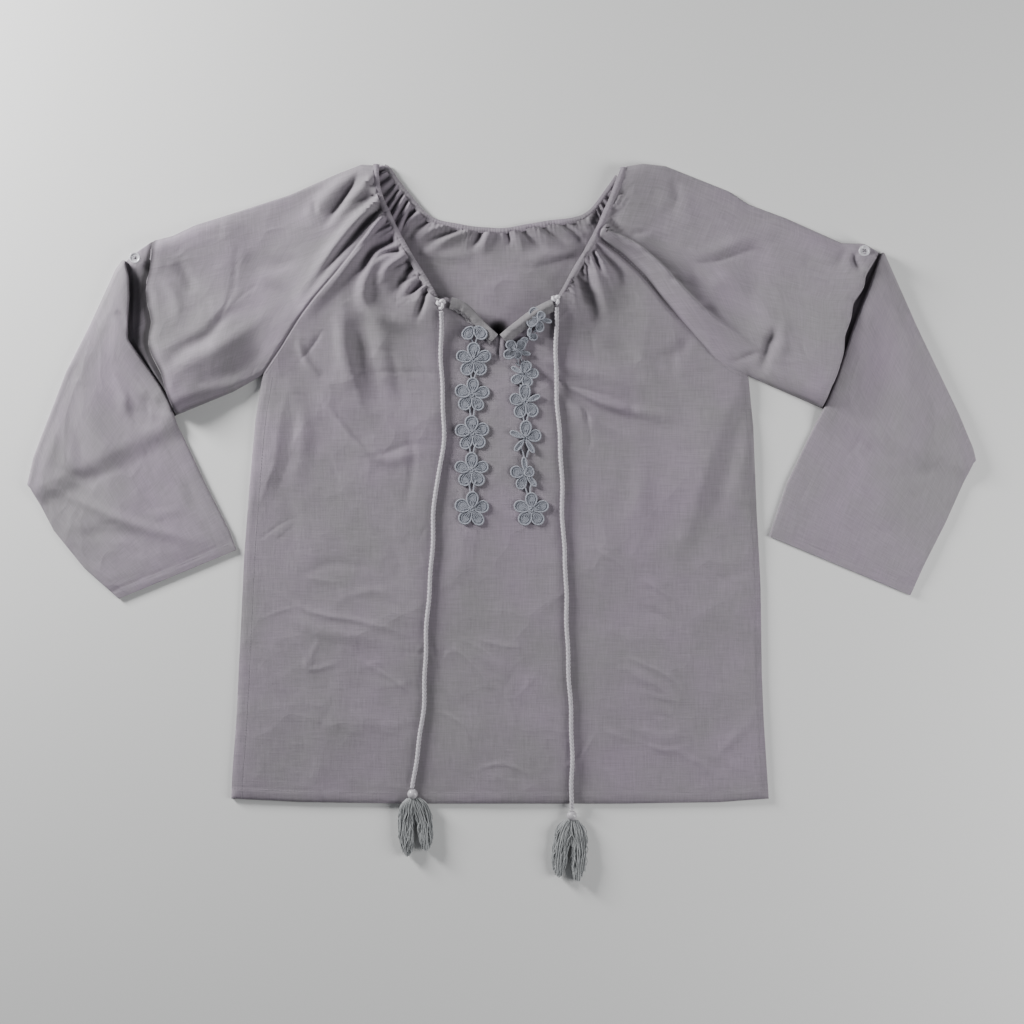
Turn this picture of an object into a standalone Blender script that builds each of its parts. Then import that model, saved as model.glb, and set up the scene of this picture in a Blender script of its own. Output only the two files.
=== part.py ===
"""A peasant top laid flat with its front up, in the pieces that a maker cuts and sews.

Front and back panels, two raglan sleeves folded over at the elbow, a bound neck that gathers the
cloth, the facings of the neck slit, two daisy lace trims, two sleeve buttons, and two drawcords
with knots, beads and tassels.

Sizes are millimetres and become metres where an object is made. The origin is on the surface that
the top lies on, under the middle of the cloth. +X runs across the top, +Y from hem to neck and +Z
up from the surface.
"""

import math
from collections import namedtuple

import bmesh
import bpy
import numpy as np
from mathutils import Vector
from mathutils.geometry import delaunay_2d_cdt

MM = 0.001

# Cloth
WALL = 1.2
SEAM_GAP = 0.3
LAYER_GAP = 0.4
FOLD_STACK = 2.2
SLEEVE_SPAN = 200.0
RIM_INSET = 1.3
RIM_WALL = 1.4

# Neck binding: a band with a drawcord inside
BINDING_WIDTH = 6.0
BINDING_THICK = 2.6
BINDING_BACK_Z = 1.9
NECK_RISE = 6.2
NECK_REACH = 42.0
SLIT_RISE = 2.0
SLIT_REACH = 18.0

# Looseness of the cloth
EASE = 1.4
EASE_WAVES = (47.0, 61.0)
EDGE_ROLL = 18.0
BACK_FADE = 20.0
FOREARM_ROLL = 16.0
FOREARM_DROP = 22.0
HUMP_HEIGHT = 12.0
HUMP_START = 3.0
HUMP_SPAN = 17.0
HUMP_FADE = 75.0

# Trims; buttons and knots settle into the cloth's puff by a little
FACING_WIDTH = 12.0
FACING_THICK = 1.2
PETAL_OUT = 10.8
PETAL_LONG = 8.0
PETAL_WIDE = 5.9
FLOWER_EYE = 4.6
LACE_THICK = 1.5
LACE_MIDDLES_APART = 3.0
LINK_WIDTH = 4.4
BUTTON_RADIUS = 5.75
BUTTON_THICK = 2.4
BUTTON_SETTLE = 1.15
CORD = 5.0
KNOT_SIZE = (6.2, 7.0, 4.6)
KNOT_SETTLE = 0.7
BEAD_RADIUS = 5.6
BEAD_LENGTH = 5.2
TASSEL_CELLS = (8, 3)
TASSEL_HEAD = 9.0
TASSEL_NECK = 4.6
TASSEL_TALL = 4.4
TASSEL_LOBES = 1.6
TASSEL_REST_Z = 5.0
STRAND_STEPS = 3
STRAND_SHARE = 0.74
STRAND_TAPER = 0.35

# Outlines, in order along each edge
NECK_LEFT = [(-71.5, 195.5), (-74.5, 201.9), (-89.8, 226), (-104, 250), (-118.2, 278.5),
             (-128, 302.6), (-130, 322)]
NECK_RIGHT = [(64.5, 197), (70.6, 208.4), (80.5, 226), (94.7, 250), (108, 278.5),
              (118, 302.5), (126, 324)]
NECK_BACK = [(-122.5, 329), (-117.5, 325), (-103, 305), (-88, 287), (-75, 274.5), (-51, 267.5),
             (-17, 262.7), (7, 262.7), (39, 268.4), (76, 273.6), (90, 279), (101, 290.5),
             (112, 305.5), (121, 319)]
SLIT_LEFT = [(-66, 188), (-57.7, 191.5), (-36.9, 185.1), (-15.1, 163.3), (-2.6, 151.8)]
SLIT_RIGHT = [(-2.6, 151.8), (10.9, 163.3), (27.6, 175.8), (44.2, 185.1), (58.6, 190.5)]
RAGLAN_LEFT = [(-249, 112), (-230, 140), (-212, 168), (-194, 191), (-173, 215), (-160, 231),
               (-140, 258), (-121.8, 279)]
RAGLAN_RIGHT = [(100.8, 255), (126, 239), (149.4, 217.2), (167, 193.1), (195.4, 160.3),
                (220, 132), (240, 117), (257, 111.5)]
BACK_RAGLAN_LEFT = [(-249, 112), (-205, 165), (-160, 215), (-120, 262), (-96, 290.5)]
BACK_RAGLAN_RIGHT = [(104, 287.5), (125, 262), (165, 215), (210, 165), (257, 111.5)]
SIDE_LEFT = [(-249, 112), (-256.4, 63.4), (-262.6, -5.2), (-267.8, -73.8), (-270.9, -140),
             (-276.1, -247.5), (-280.3, -302.6), (-281.3, -328.5)]
SIDE_RIGHT = [(257, 111.5), (262.1, 58.2), (265.4, -24.6), (269.7, -107.1), (271, -199.4),
              (273, -247.5), (276.5, -302.3), (278.2, -328.6)]
HEM = [(-281.3, -328.5), (-207.5, -332.2), (-91, -333.8), (-6.8, -333.8), (123.2, -333.8),
       (226.2, -332.3), (278.2, -328.6)]

# Sleeves: shoulder fold, underarm seam, elbow crease and the forearm turned back over it
Sleeve = namedtuple("Sleeve", "side top under crest foot crease inner outer cuff_in cuff_out button")
LEFT = Sleeve(
    side=-1,
    top=[(-133.8, 331), (-145.6, 331.8), (-171, 322), (-221.4, 299.8), (-318, 268.7),
         (-366.6, 249.6), (-389.6, 225)],
    under=[(-249, 112), (-280.3, 94.6), (-338.5, 70.7), (-416, 32), (-490.4, -4.2)],
    crest=[(-355, 254), (-358, 232), (-363, 204), (-360, 175), (-358, 143), (-345, 115), (-322, 77.5)],
    foot=[(-382, 233), (-381.5, 208), (-381, 181), (-379, 148), (-348, 97), (-341, 69.5)],
    crease=[(-389.6, 225), (-425.2, 161.8), (-449.6, 114), (-483.8, 25), (-490.4, -4.2)],
    inner=[(-389.6, 225), (-385.8, 208), (-384.9, 181), (-384, 148), (-351, 97),
           (-335.4, 56.6), (-307.7, -2.1), (-283.4, -49.9), (-276.1, -69.7)],
    outer=[(-490.4, -4.2), (-466.4, -49.9), (-435.2, -88.4), (-398.8, -120.6)],
    cuff_in=(-276.1, -69.7),
    cuff_out=(-398.8, -120.6),
    button=(-378.6, 232.4),
)
RIGHT = Sleeve(
    side=1,
    top=[(130.3, 330), (147.7, 332.8), (170.9, 330.2), (237.2, 303.7), (257.1, 290.4),
         (296.9, 275.6), (353.1, 249.9), (376.5, 249), (394.6, 238.8)],
    under=[(257, 111.5), (290.3, 96.7), (333.3, 78), (410, 46), (490.6, 21)],
    crest=[(366, 249.5), (366, 232), (364, 206), (352, 180), (343, 152), (335, 120), (317, 85)],
    foot=[(388, 242.5), (376.5, 203), (360, 160), (345, 113), (335, 77.3)],
    crease=[(394.6, 238.8), (429.4, 160), (472.4, 70.6), (487.4, 34.4), (490.6, 21)],
    inner=[(394.6, 238.8), (379.8, 200.7), (363.3, 158.1), (348.3, 111.3), (333.3, 74.9),
           (296.9, -1), (278.7, -55.5)],
    outer=[(490.6, 21), (462.7, -41.3), (439.4, -87.4), (426, -117)],
    cuff_in=(278.7, -55.5),
    cuff_out=(426, -117),
    button=(374.4, 239.4),
)

# Folds of the upper cloth, along their own lines: open ones start at full height at a seam
Fold = namedtuple("Fold", "name points width end_width height open")
FRONT_FOLDS = [
    Fold("left seam trough", [(-126, 282), (-165, 240), (-209, 176)], 5, 6, -6.0, True),
    Fold("left sleeve ridge", [(-124, 292), (-158, 256), (-190, 200), (-214, 150)], 9, 12, 5.0,
         True),
    Fold("left shoulder trough", [(-147, 318), (-166, 292), (-188, 263)], 4, 6, -3.5, False),
    Fold("left shoulder ridge", [(-135, 310), (-162, 284), (-190, 250)], 6, 9, 3.0, True),
    Fold("left seam ridge", [(-124, 272), (-166, 216), (-208, 166)], 5, 8, 4.5, True),
    Fold("left yoke trough", [(-114, 250), (-136, 238), (-145, 206)], 4, 7, -4.0, True),
    Fold("left yoke puff", [(-110, 242), (-126, 214), (-104, 178), (-80, 172)], 9, 12, 4.0, False),
    Fold("left yoke dip", [(-92, 222), (-104, 204), (-118, 190)], 7, 9, -5.0, True),
    Fold("left chest trough", [(-153, 168), (-143, 128), (-130, 77)], 7, 13, -3.2, False),
    Fold("left chest roll", [(-132, 190), (-124, 140), (-112, 96)], 12, 18, 2.4, False),
    Fold("left side band", [(-240, 100), (-228, 46), (-246, -23)], 8, 10, -2.0, False),
    Fold("left chest crease", [(-188, 88), (-138, 25), (-114, 33)], 5, 6, -1.6, False),
    Fold("right dip", [(88, 224), (92, 184), (108, 154)], 7, 10, -5.0, True),
    Fold("right yoke ridge", [(95, 236), (108, 200), (116, 150)], 6, 10, 3.5, True),
    Fold("right yoke trough", [(103, 241), (121, 224), (131, 200)], 3.5, 6, -3.2, True),
    Fold("right seam trough", [(104, 252), (149, 213), (167, 189), (195, 156)], 4, 5, -3.5, True),
    Fold("right seam roll", [(110, 258), (150, 230), (206, 174), (250, 140), (282, 116)],
         9, 11, 7.5, True),
    Fold("right sleeve dip", [(150, 252), (186, 222), (214, 200)], 11, 12, -3.0, False),
    Fold("right sleeve crease", [(189, 227), (222, 232), (265, 244), (285, 235)], 5, 6, -2.0, False),
    Fold("right chest trough", [(31, 118), (60, 102), (112, 68), (182, 53)], 5, 9, -3.0, False),
    Fold("right chest ridge", [(50, 112), (100, 84), (180, 66)], 6, 8, 2.6, False),
    Fold("right chest crease", [(55, 105), (90, 97), (150, 81), (182, 77)], 4, 5, -1.8, False),
    Fold("right side wedge", [(252, 108), (235, 73), (204, -25), (171, -84)], 8, 14, -2.6, False),
    Fold("lower left crease", [(-249, -102), (-191, -136), (-146, -144), (-85, -161)], 6, 7, -1.5,
         False),
    Fold("lower right crease", [(103, -256), (150, -270), (202, -271)], 6, 7, -1.4, False),
    Fold("lower right ridge", [(125, -178), (171, -200), (189, -222)], 6, 8, 1.6, False),
    Fold("left sleeve crease", [(-328, 133), (-301, 157), (-253, 190)], 8, 8, -3.0, False),
]
FOREARM_FOLDS = [
    Fold("left forearm crease", [(-480, 0), (-390, -40), (-300, -70)], 8, 10, 2.4, False),
    Fold("left forearm ridge", [(-432, 120), (-420, 20), (-380, -60)], 16, 22, 2.6, False),
    Fold("right forearm ridge", [(420, 150), (418, 40), (380, -50)], 16, 22, 2.6, False),
]

# Lace: one row for each daisy, in order down the trim
Daisy = namedtuple("Daisy", "x y turn wide high")
LACE_LEFT = [
    Daisy(-28.0, 158.0, 0, 1.0, 0.8),
    Daisy(-28.8, 126.9, 0, 1.0, 1.0),
    Daisy(-30.7, 90.5, -4, 1.0, 1.0),
    Daisy(-30.7, 51.4, 3, 1.0, 1.0),
    Daisy(-30.7, 12.5, 0, 1.0, 1.0),
    Daisy(-30.7, -28.1, -3, 1.0, 1.0),
]
LACE_RIGHT = [
    Daisy(38.5, 168.0, 28, 0.78, 0.72),
    Daisy(18.6, 135.0, 20, 0.86, 0.8),
    Daisy(23.0, 110.0, -12, 0.8, 0.72),
    Daisy(25.0, 84.0, 4, 0.92, 1.0),
    Daisy(25.5, 45.8, -6, 0.92, 1.0),
    Daisy(25.5, 8.7, 8, 0.82, 1.0),
    Daisy(31.0, -28.1, 0, 1.0, 1.0),
]

# Drawcords: route, bead and tassel, past the hem
Drawcord = namedtuple("Drawcord", "knot route bead tassel_end spread")
CORD_LEFT = Drawcord(
    knot=(-62.4, 184.4),
    route=[(-62.3, 176.6), (-62.3, 125.8), (-60.4, 81.1), (-60.9, 34.7), (-68.7, -11.4),
           (-70.6, -48.9), (-72.5, -78.6), (-76.8, -135.8), (-78.7, -186), (-80.9, -230.6),
           (-86.5, -275.1), (-91, -309), (-91.8, -316.4)],
    bead=(-92.2, -322.4),
    tassel_end=(-87.4, -387.0),
    spread=19.0,
)
CORD_RIGHT = Drawcord(
    knot=(56.4, 188.7),
    route=[(56.6, 180.8), (56.7, 137.3), (57.5, 92.6), (60.3, 43.7), (62.7, 7.3), (64, -48.9),
           (65.8, -78.6), (67.6, -135.8), (70.9, -219.4), (73.1, -275.1), (73.2, -316),
           (73.1, -339.6)],
    bead=(73.1, -345.6),
    tassel_end=(68.8, -414.0),
    spread=20.0,
)

# Colours, as linear red, green and blue
Finish = namedtuple("Finish", "colour roughness")
CLOTH = Finish((0.30, 0.275, 0.305), 0.85)
LACE = Finish((0.29, 0.33, 0.39), 0.8)
CORD_COTTON = Finish((0.48, 0.45, 0.50), 0.8)
YARN = Finish((0.30, 0.32, 0.33), 0.9)
PEARL = Finish((0.62, 0.60, 0.64), 0.3)


def at(path, fractions):
    """Points of a path at fractions of its length."""
    path = np.asarray(path, float)
    steps = np.linalg.norm(np.diff(path, axis=0), axis=1)
    marks = np.concatenate([[0], np.cumsum(steps)]) / steps.sum()
    return np.stack([np.interp(fractions, marks, path[:, k]) for k in range(path.shape[1])], -1)


def at_x(path, fractions):
    """Points of a path that runs left to right, at fractions of its width."""
    path = np.asarray(path, float)
    x = path[0, 0] + np.asarray(fractions) * (path[-1, 0] - path[0, 0])
    return np.stack([x, np.interp(x, path[:, 0], path[:, 1])], -1)


def smooth(path, per_step=6):
    """A Catmull-Rom curve through the points of a path."""
    path = np.asarray(path, float)
    ends = np.concatenate([[2 * path[0] - path[1]], path, [2 * path[-1] - path[-2]]])
    curve = []
    for before, start, stop, after in zip(ends, ends[1:], ends[2:], ends[3:]):
        for t in np.arange(per_step) / per_step:
            curve.append(0.5 * (2 * start + (stop - before) * t
                                + (2 * before - 5 * start + 4 * stop - after) * t * t
                                + (3 * start - before - 3 * stop + after) * t ** 3))
    return np.array(curve + [path[-1]])


def shifted(path, distance):
    """A path moved to its left by a distance."""
    path = np.asarray(path, float)
    along = np.gradient(path, axis=0)
    along /= np.linalg.norm(along, axis=1)[:, None]
    return path + distance * np.stack([-along[:, 1], along[:, 0]], -1)


def nearest(path, x, y):
    """Distance to a path, the fraction along it, and the side: +1 left of it, -1 right."""
    path = np.asarray(path, float)
    steps = np.linalg.norm(np.diff(path, axis=0), axis=1)
    marks = np.concatenate([[0], np.cumsum(steps)])
    gap = np.full(np.shape(x), np.inf)
    along = np.zeros(np.shape(x))
    side = np.ones(np.shape(x))
    for (ax, ay), (bx, by), step, mark in zip(path, path[1:], steps, marks):
        t = np.clip(((x - ax) * (bx - ax) + (y - ay) * (by - ay)) / step ** 2, 0, 1)
        dx = x - ax - t * (bx - ax)
        dy = y - ay - t * (by - ay)
        distance = np.hypot(dx, dy)
        closer = distance < gap
        gap = np.where(closer, distance, gap)
        along = np.where(closer, (mark + t * step) / marks[-1], along)
        side = np.where(closer, np.sign((bx - ax) * dy - (by - ay) * dx), side)
    return gap, along, side


def ramp(value):
    """0 below 0, 1 above 1 and smooth between."""
    t = np.clip(value, 0, 1)
    return t * t * (3 - 2 * t)


def gathers(path, start, stop, count, length, width, height, lean):
    """Ridges that fan out from a stretch of a gathered edge, each of its own length and height."""
    rows = []
    places = at(path, start + (stop - start) * (np.arange(count) + 0.5) / count)
    outward = shifted(places, 1.0) - places
    for i, (start, normal) in enumerate(zip(places, outward)):
        vary = (i * 0.618) % 1
        way = normal + np.array([0, -lean])
        way /= np.linalg.norm(way)
        reach = length * (0.65 + 0.7 * vary)
        middle = start + way * reach * 0.5
        end = start + (0.8 * way + np.array([0, -0.3])) * reach
        rows.append(Fold(f"gather {i}", [tuple(start), tuple(middle), tuple(end)], width,
                         2.4 * width, height * (0.75 + 0.5 * ((vary * 3) % 1)), True))
    return rows


def fold_heights(folds, x, y):
    """The sum of the folds at each place."""
    total = np.zeros(np.shape(x))
    for fold in folds:
        gap, along, _ = nearest(fold.points, x, y)
        width = fold.width + (fold.end_width - fold.width) * along
        taper = 1 - along ** 2 if fold.open else np.sin(np.pi * along) ** 0.7
        total += fold.height * taper * np.exp(-((gap / width) ** 2))
    return total


NECK_CLOTH_OFFSET = BINDING_WIDTH / 2 + 2 * SEAM_GAP
FRONT_NECK_LEFT = shifted(smooth(NECK_LEFT, 3), NECK_CLOTH_OFFSET)
FRONT_NECK_RIGHT = shifted(smooth(NECK_RIGHT, 3), -NECK_CLOTH_OFFSET)
BACK_NECK = shifted(smooth(NECK_BACK, 3), -NECK_CLOTH_OFFSET)
GATHERED = (
    gathers(FRONT_NECK_LEFT, 0.0, 0.72, 7, length=34, width=3.2, height=2.6, lean=0.9)
    + gathers(FRONT_NECK_RIGHT[::-1], 0.42, 1.0, 6, length=34, width=3.2, height=2.6, lean=0.9)
    + gathers(FRONT_NECK_LEFT, 0.72, 1.0, 3, length=26, width=3.6, height=2.0, lean=0.2)
    + gathers(FRONT_NECK_RIGHT[::-1], 0.0, 0.34, 3, length=26, width=3.6, height=2.0, lean=0.2)
)
BACK_GATHERED = gathers(BACK_NECK[::-1], 0.08, 0.95, 17, length=30, width=3.6, height=3.2, lean=0.6)
CLOSED_EDGES = [LEFT.top, LEFT.under, RIGHT.top, RIGHT.under, SIDE_LEFT, SIDE_RIGHT, HEM]


def back_rise(x, y):
    """How far the back cloth lifts off the surface: its gathers under the back of the neck."""
    inside = np.minimum(nearest(LEFT.top, x, y)[0], nearest(RIGHT.top, x, y)[0])
    return np.maximum(fold_heights(BACK_GATHERED, x, y), 0) * ramp(inside / BACK_FADE - 0.2)


def edge_roll(x, y):
    """0 at the closed edges, rounding up to 1 a little way in."""
    gap = np.min([nearest(edge, x, y)[0] for edge in CLOSED_EDGES], axis=0)
    return np.sqrt(1 - (1 - np.clip(gap / EDGE_ROLL, 0, 1)) ** 2)


def sleeve_hump(sleeve, x, y):
    """The upper arm's puff, which drops into the fold beside the forearm's inner edge."""
    gap, _, side = nearest(sleeve.inner, x, y)
    inward = -sleeve.side * side * gap
    puff = ramp((inward - HUMP_START) / HUMP_SPAN) * np.exp(-np.maximum(inward - 20, 0) / HUMP_FADE)
    return HUMP_HEIGHT * puff


def open_sleeve(sleeve, x, y):
    """1 on the upper arm that shows and 0 under the forearm."""
    gap, _, side = nearest(sleeve.inner, x, y)
    beyond = sleeve.side * x > 300
    return np.where(beyond, ramp(-sleeve.side * side * gap / 12), 1.0)


def front_rise(x, y):
    """How far the front cloth stands above where it would lie flat on the back."""
    x = np.asarray(x, float)
    y = np.asarray(y, float)
    neck = np.minimum(nearest(NECK_LEFT, x, y)[0], nearest(NECK_RIGHT, x, y)[0])
    slit = np.minimum(nearest(SLIT_LEFT, x, y)[0], nearest(SLIT_RIGHT, x, y)[0])
    rise = EASE * (1 + 0.5 * np.sin(x / EASE_WAVES[0] + 1) * np.sin(y / EASE_WAVES[1]))
    rise = rise + NECK_RISE * np.exp(-((neck / NECK_REACH) ** 2))
    rise = rise + SLIT_RISE * np.exp(-((slit / SLIT_REACH) ** 2))
    for sleeve in (LEFT, RIGHT):
        on_sleeve = ramp((sleeve.side * x - 235) / 40)
        rise = rise + on_sleeve * sleeve_hump(sleeve, x, y)
    rise = rise + fold_heights(FRONT_FOLDS + GATHERED, x, y)
    rise = 0.5 * (rise + np.sqrt(rise ** 2 + 0.1))
    rise = rise * edge_roll(x, y) * open_sleeve(LEFT, x, y) * open_sleeve(RIGHT, x, y)
    return np.maximum(rise, back_rise(x, y))


def front_top(x, y):
    """Height of the front's upper face."""
    return 2 * WALL + LAYER_GAP + front_rise(x, y)


def rest_height(x, y, reach=5.0):
    """The highest cloth within reach of a place, which is what a trim lies on there."""
    around = [(0, 0)] + [(reach * math.cos(a), reach * math.sin(a)) for a in np.arange(8) * math.pi / 4]
    heights = [front_top(np.asarray(x, float) + dx, np.asarray(y, float) + dy) for dx, dy in around]
    return np.max(heights, axis=0)


def patch(top, bottom, left, right, across, down):
    """A grid of points between four edges, rows going down and columns across."""
    a = np.asarray(across)[None, :, None]
    d = np.asarray(down)[:, None, None]
    corners = ((1 - a) * (1 - d) * top[0] + a * (1 - d) * top[-1]
               + (1 - a) * d * bottom[0] + a * d * bottom[-1])
    return ((1 - d) * top[None] + d * bottom[None] + (1 - a) * left[:, None]
            + a * right[:, None] - corners)


def between(first, last, start_edge, end_edge, across, steps):
    """Rings between two rings whose ends keep to two edges."""
    a = np.asarray(across)[None, :, None]
    d = np.asarray(steps)[:, None, None]
    straight = (1 - d) * first[None] + d * last[None]
    start_pull = start_edge[:, None] - ((1 - d) * first[0] + d * last[0])
    end_pull = end_edge[:, None] - ((1 - d) * first[-1] + d * last[-1])
    return straight + (1 - a) * start_pull + a * end_pull


def with_height(points, height):
    """Points in the plane given a height."""
    return np.concatenate([points, np.asarray(height)[..., None]], -1)


def new_mesh(name, points, faces, finish):
    """An object from points in millimetres and faces, closed and facing out."""
    mesh = bpy.data.meshes.new(name)
    mesh.from_pydata((np.asarray(points) * MM).tolist(), [], faces)
    body = bmesh.new()
    body.from_mesh(mesh)
    bmesh.ops.recalc_face_normals(body, faces=body.faces)
    body.to_mesh(mesh)
    body.free()
    mesh.shade_smooth()
    mesh.set_sharp_from_angle(angle=math.radians(40))
    return new_object(name, mesh, finish)


def new_object(name, data, finish):
    """An object in the scene, with its own material."""
    made = bpy.data.objects.new(name, data)
    bpy.context.scene.collection.objects.link(made)
    material = bpy.data.materials.new(name)
    material.use_nodes = True
    shader = material.node_tree.nodes["Principled BSDF"]
    shader.inputs["Base Color"].default_value = (*finish.colour, 1)
    shader.inputs["Roughness"].default_value = finish.roughness
    shader.inputs["Metallic"].default_value = 0
    data.materials.append(material)
    return made


def grid_faces(rows, columns, start=0, wrap=False):
    """Quads of a grid of points; wrap joins the last column to the first."""
    faces = []
    for r in range(rows - 1):
        for c in range(columns if wrap else columns - 1):
            n = (c + 1) % columns
            faces.append([start + r * columns + c, start + r * columns + n,
                          start + (r + 1) * columns + n, start + (r + 1) * columns + c])
    return faces


def sheet_solid(name, low, high, finish):
    """A closed wall of cloth between a lower and an upper grid of points."""
    rows, columns = low.shape[:2]
    count = rows * columns
    faces = [face[::-1] for face in grid_faces(rows, columns)]
    faces += grid_faces(rows, columns, count)
    rim = ([c for c in range(columns)]
           + [r * columns + columns - 1 for r in range(1, rows)]
           + [(rows - 1) * columns + c for c in range(columns - 2, -1, -1)]
           + [r * columns for r in range(rows - 2, 0, -1)])
    for a, b in zip(rim, rim[1:] + rim[:1]):
        faces.append([a, b, b + count, a + count])
    points = np.concatenate([low.reshape(-1, 3), high.reshape(-1, 3)])
    return new_mesh(name, points, faces, finish)


def tube_solid(name, outer, inner, finish):
    """A closed wall of cloth between an outer and an inner run of rings."""
    rings, loop = outer.shape[:2]
    count = rings * loop
    faces = grid_faces(rings, loop, 0, True)
    faces += [face[::-1] for face in grid_faces(rings, loop, count, True)]
    for first in (0, (rings - 1) * loop):
        for c in range(loop):
            n = (c + 1) % loop
            faces.append([first + c, first + n, first + n + count, first + c + count])
    points = np.concatenate([outer.reshape(-1, 3), inner.reshape(-1, 3)])
    return new_mesh(name, points, faces, finish)


def loft_solid(name, rings, finish):
    """A closed solid through rings, with a flat cap at each end."""
    count, loop = rings.shape[:2]
    faces = grid_faces(count, loop, 0, True)
    faces.append(list(range(loop))[::-1])
    faces.append(list(range((count - 1) * loop, count * loop)))
    return new_mesh(name, rings.reshape(-1, 3), faces, finish)


def spaced(*stretches):
    """Places along an edge: a row of (end, count) stretches, starting from the first value."""
    places = [stretches[0]]
    for end, count in stretches[1:]:
        start = places[-1]
        places += [start + (end - start) * k / count for k in range(1, count + 1)]
    return np.array(places)


def joined(*paths):
    """Paths end to end as one, leaving out points that repeat."""
    points = np.concatenate([np.asarray(path, float) for path in paths])
    keep = np.concatenate([[True], np.linalg.norm(np.diff(points, axis=0), axis=1) > 0.8])
    return points[keep]


def make_panel(name, top, columns, rows, low_height):
    """A body panel from its neck and raglan edge down to the hem."""
    left = top[0, 0]
    across = (columns - left) / (top[-1, 0] - left)
    down = (np.arange(rows + 1) / rows) ** 1.5
    sides = [at(side, down) for side in (SIDE_LEFT, SIDE_RIGHT)]
    points = patch(at_x(top, across), at_x(HEM, across), *sides, across, down)
    points[0, :, 1] -= 0.5 * SEAM_GAP
    low = low_height(points[..., 0], points[..., 1])
    return sheet_solid(name, with_height(points, low), with_height(points, low + WALL), CLOTH)


def make_front():
    """The front, with the gathers of the neck and the open slit."""
    neck_left = FRONT_NECK_LEFT[::-1]
    neck_left = neck_left[neck_left[:, 1] < RAGLAN_LEFT[-1][1]]
    neck_right = FRONT_NECK_RIGHT[FRONT_NECK_RIGHT[:, 1] < RAGLAN_RIGHT[0][1]]
    top = joined(RAGLAN_LEFT, neck_left, SLIT_LEFT, SLIT_RIGHT[1:], neck_right, RAGLAN_RIGHT)
    columns = spaced(-249, (-121.8, 11), (-70, 22), (-2.6, 8), (60, 8), (100.8, 17), (257, 14))
    make_panel("front_panel", top, columns, 10,
               lambda x, y: WALL + LAYER_GAP + front_rise(x, y))


def make_back():
    """The back, which lies flat on the surface but for the gathers of the neck."""
    neck = BACK_NECK[(BACK_NECK[:, 0] > -96) & (BACK_NECK[:, 0] < 104)]
    top = joined(BACK_RAGLAN_LEFT, neck, BACK_RAGLAN_RIGHT)
    columns = spaced(-249, (-96, 6), (104, 46), (257, 6))
    make_panel("back_panel", top, columns, 7, back_rise)


def sleeve_grid(sleeve, first_ring, across):
    """Points of one layer of a sleeve: rings of the upper arm and rings of the forearm."""
    rings = [at(first_ring, across), at(sleeve.crest, across), at(sleeve.foot, across),
             at(sleeve.crease, across)]
    steps = [np.array([0, 0.05, 0.13, 0.26, 0.42, 0.6, 0.8]), np.array([0, 0.5]),
             np.array([0, 0.3, 0.65, 1.0])]
    tops = [0, *[nearest(sleeve.top, *ring[0])[1] for ring in (sleeve.crest, sleeve.foot)], 1]
    unders = [0, *[nearest(sleeve.under, *ring[-1])[1] for ring in (sleeve.crest, sleeve.foot)], 1]
    upper = []
    for k, step in enumerate(steps):
        edge_top = at(sleeve.top, tops[k] + (tops[k + 1] - tops[k]) * step)
        edge_under = at(sleeve.under, unders[k] + (unders[k + 1] - unders[k]) * step)
        upper.append(between(rings[k], rings[k + 1], edge_top, edge_under, across, step))
    turned = np.array([0, 0.05, 0.12, 0.22, 0.36, 0.54, 0.76, 1.0])
    cuff = at([sleeve.cuff_in, sleeve.cuff_out], across)
    lower = between(rings[-1], cuff, at(sleeve.inner, turned), at(sleeve.outer, turned), across, turned)
    return np.concatenate(upper), lower


def forearm_lift(sleeve, x, y):
    """Height of the forearm's middle: over the upper arm near the crease, down to the surface."""
    gap, _, side = nearest(sleeve.under, x, y)
    below = -sleeve.side * side * gap
    over = FOLD_STACK * 2 * (1 - ramp((below - 2) / FOREARM_DROP))
    return WALL + 0.5 * LAYER_GAP + over


def sleeve_layer(sleeve, first_ring, inset, places, front, outer):
    """One face of one layer, from the neck over the crease to the cuff."""
    across = (inset + (SLEEVE_SPAN - 2 * inset) * places) / SLEEVE_SPAN
    upper, lower = sleeve_grid(sleeve, first_ring, across)
    middle = WALL + 0.5 * LAYER_GAP
    half = 0.5 * LAYER_GAP + 0.5 * WALL + (0.5 * WALL if outer else -0.5 * WALL)
    x, y = upper[..., 0], upper[..., 1]
    if front:
        height = middle + half + front_rise(x, y)
    else:
        height = middle - half + back_rise(x, y)
    rings = list(with_height(upper, height))
    crease = at(sleeve.crease, across)
    way = np.asarray(sleeve.crease[-1], float) - np.asarray(sleeve.crease[0], float)
    outward = np.array([way[1], -way[0]]) / np.linalg.norm(way) * -sleeve.side
    radius = FOLD_STACK + (-half if front else half)
    for turn in np.radians([45, 90, 135]):
        points = crease + outward * radius * math.sin(turn)
        centre = middle + FOLD_STACK
        rings.append(with_height(points, np.full(len(points), centre - radius * math.cos(turn))))
    x, y = lower[..., 0], lower[..., 1]
    loose = ramp(nearest(sleeve.crease, x, y)[0] / (2 * FOREARM_ROLL))
    for edge in (sleeve.inner, sleeve.outer, [sleeve.cuff_in, sleeve.cuff_out]):
        loose = loose * ramp(nearest(edge, x, y)[0] / FOREARM_ROLL)
    lift = forearm_lift(sleeve, x, y)
    if front:
        height = lift - half
    else:
        height = lift + half + loose * (EASE + fold_heights(FOREARM_FOLDS, x, y))
    rings += list(with_height(lower, height))
    return np.array(rings)


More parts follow.
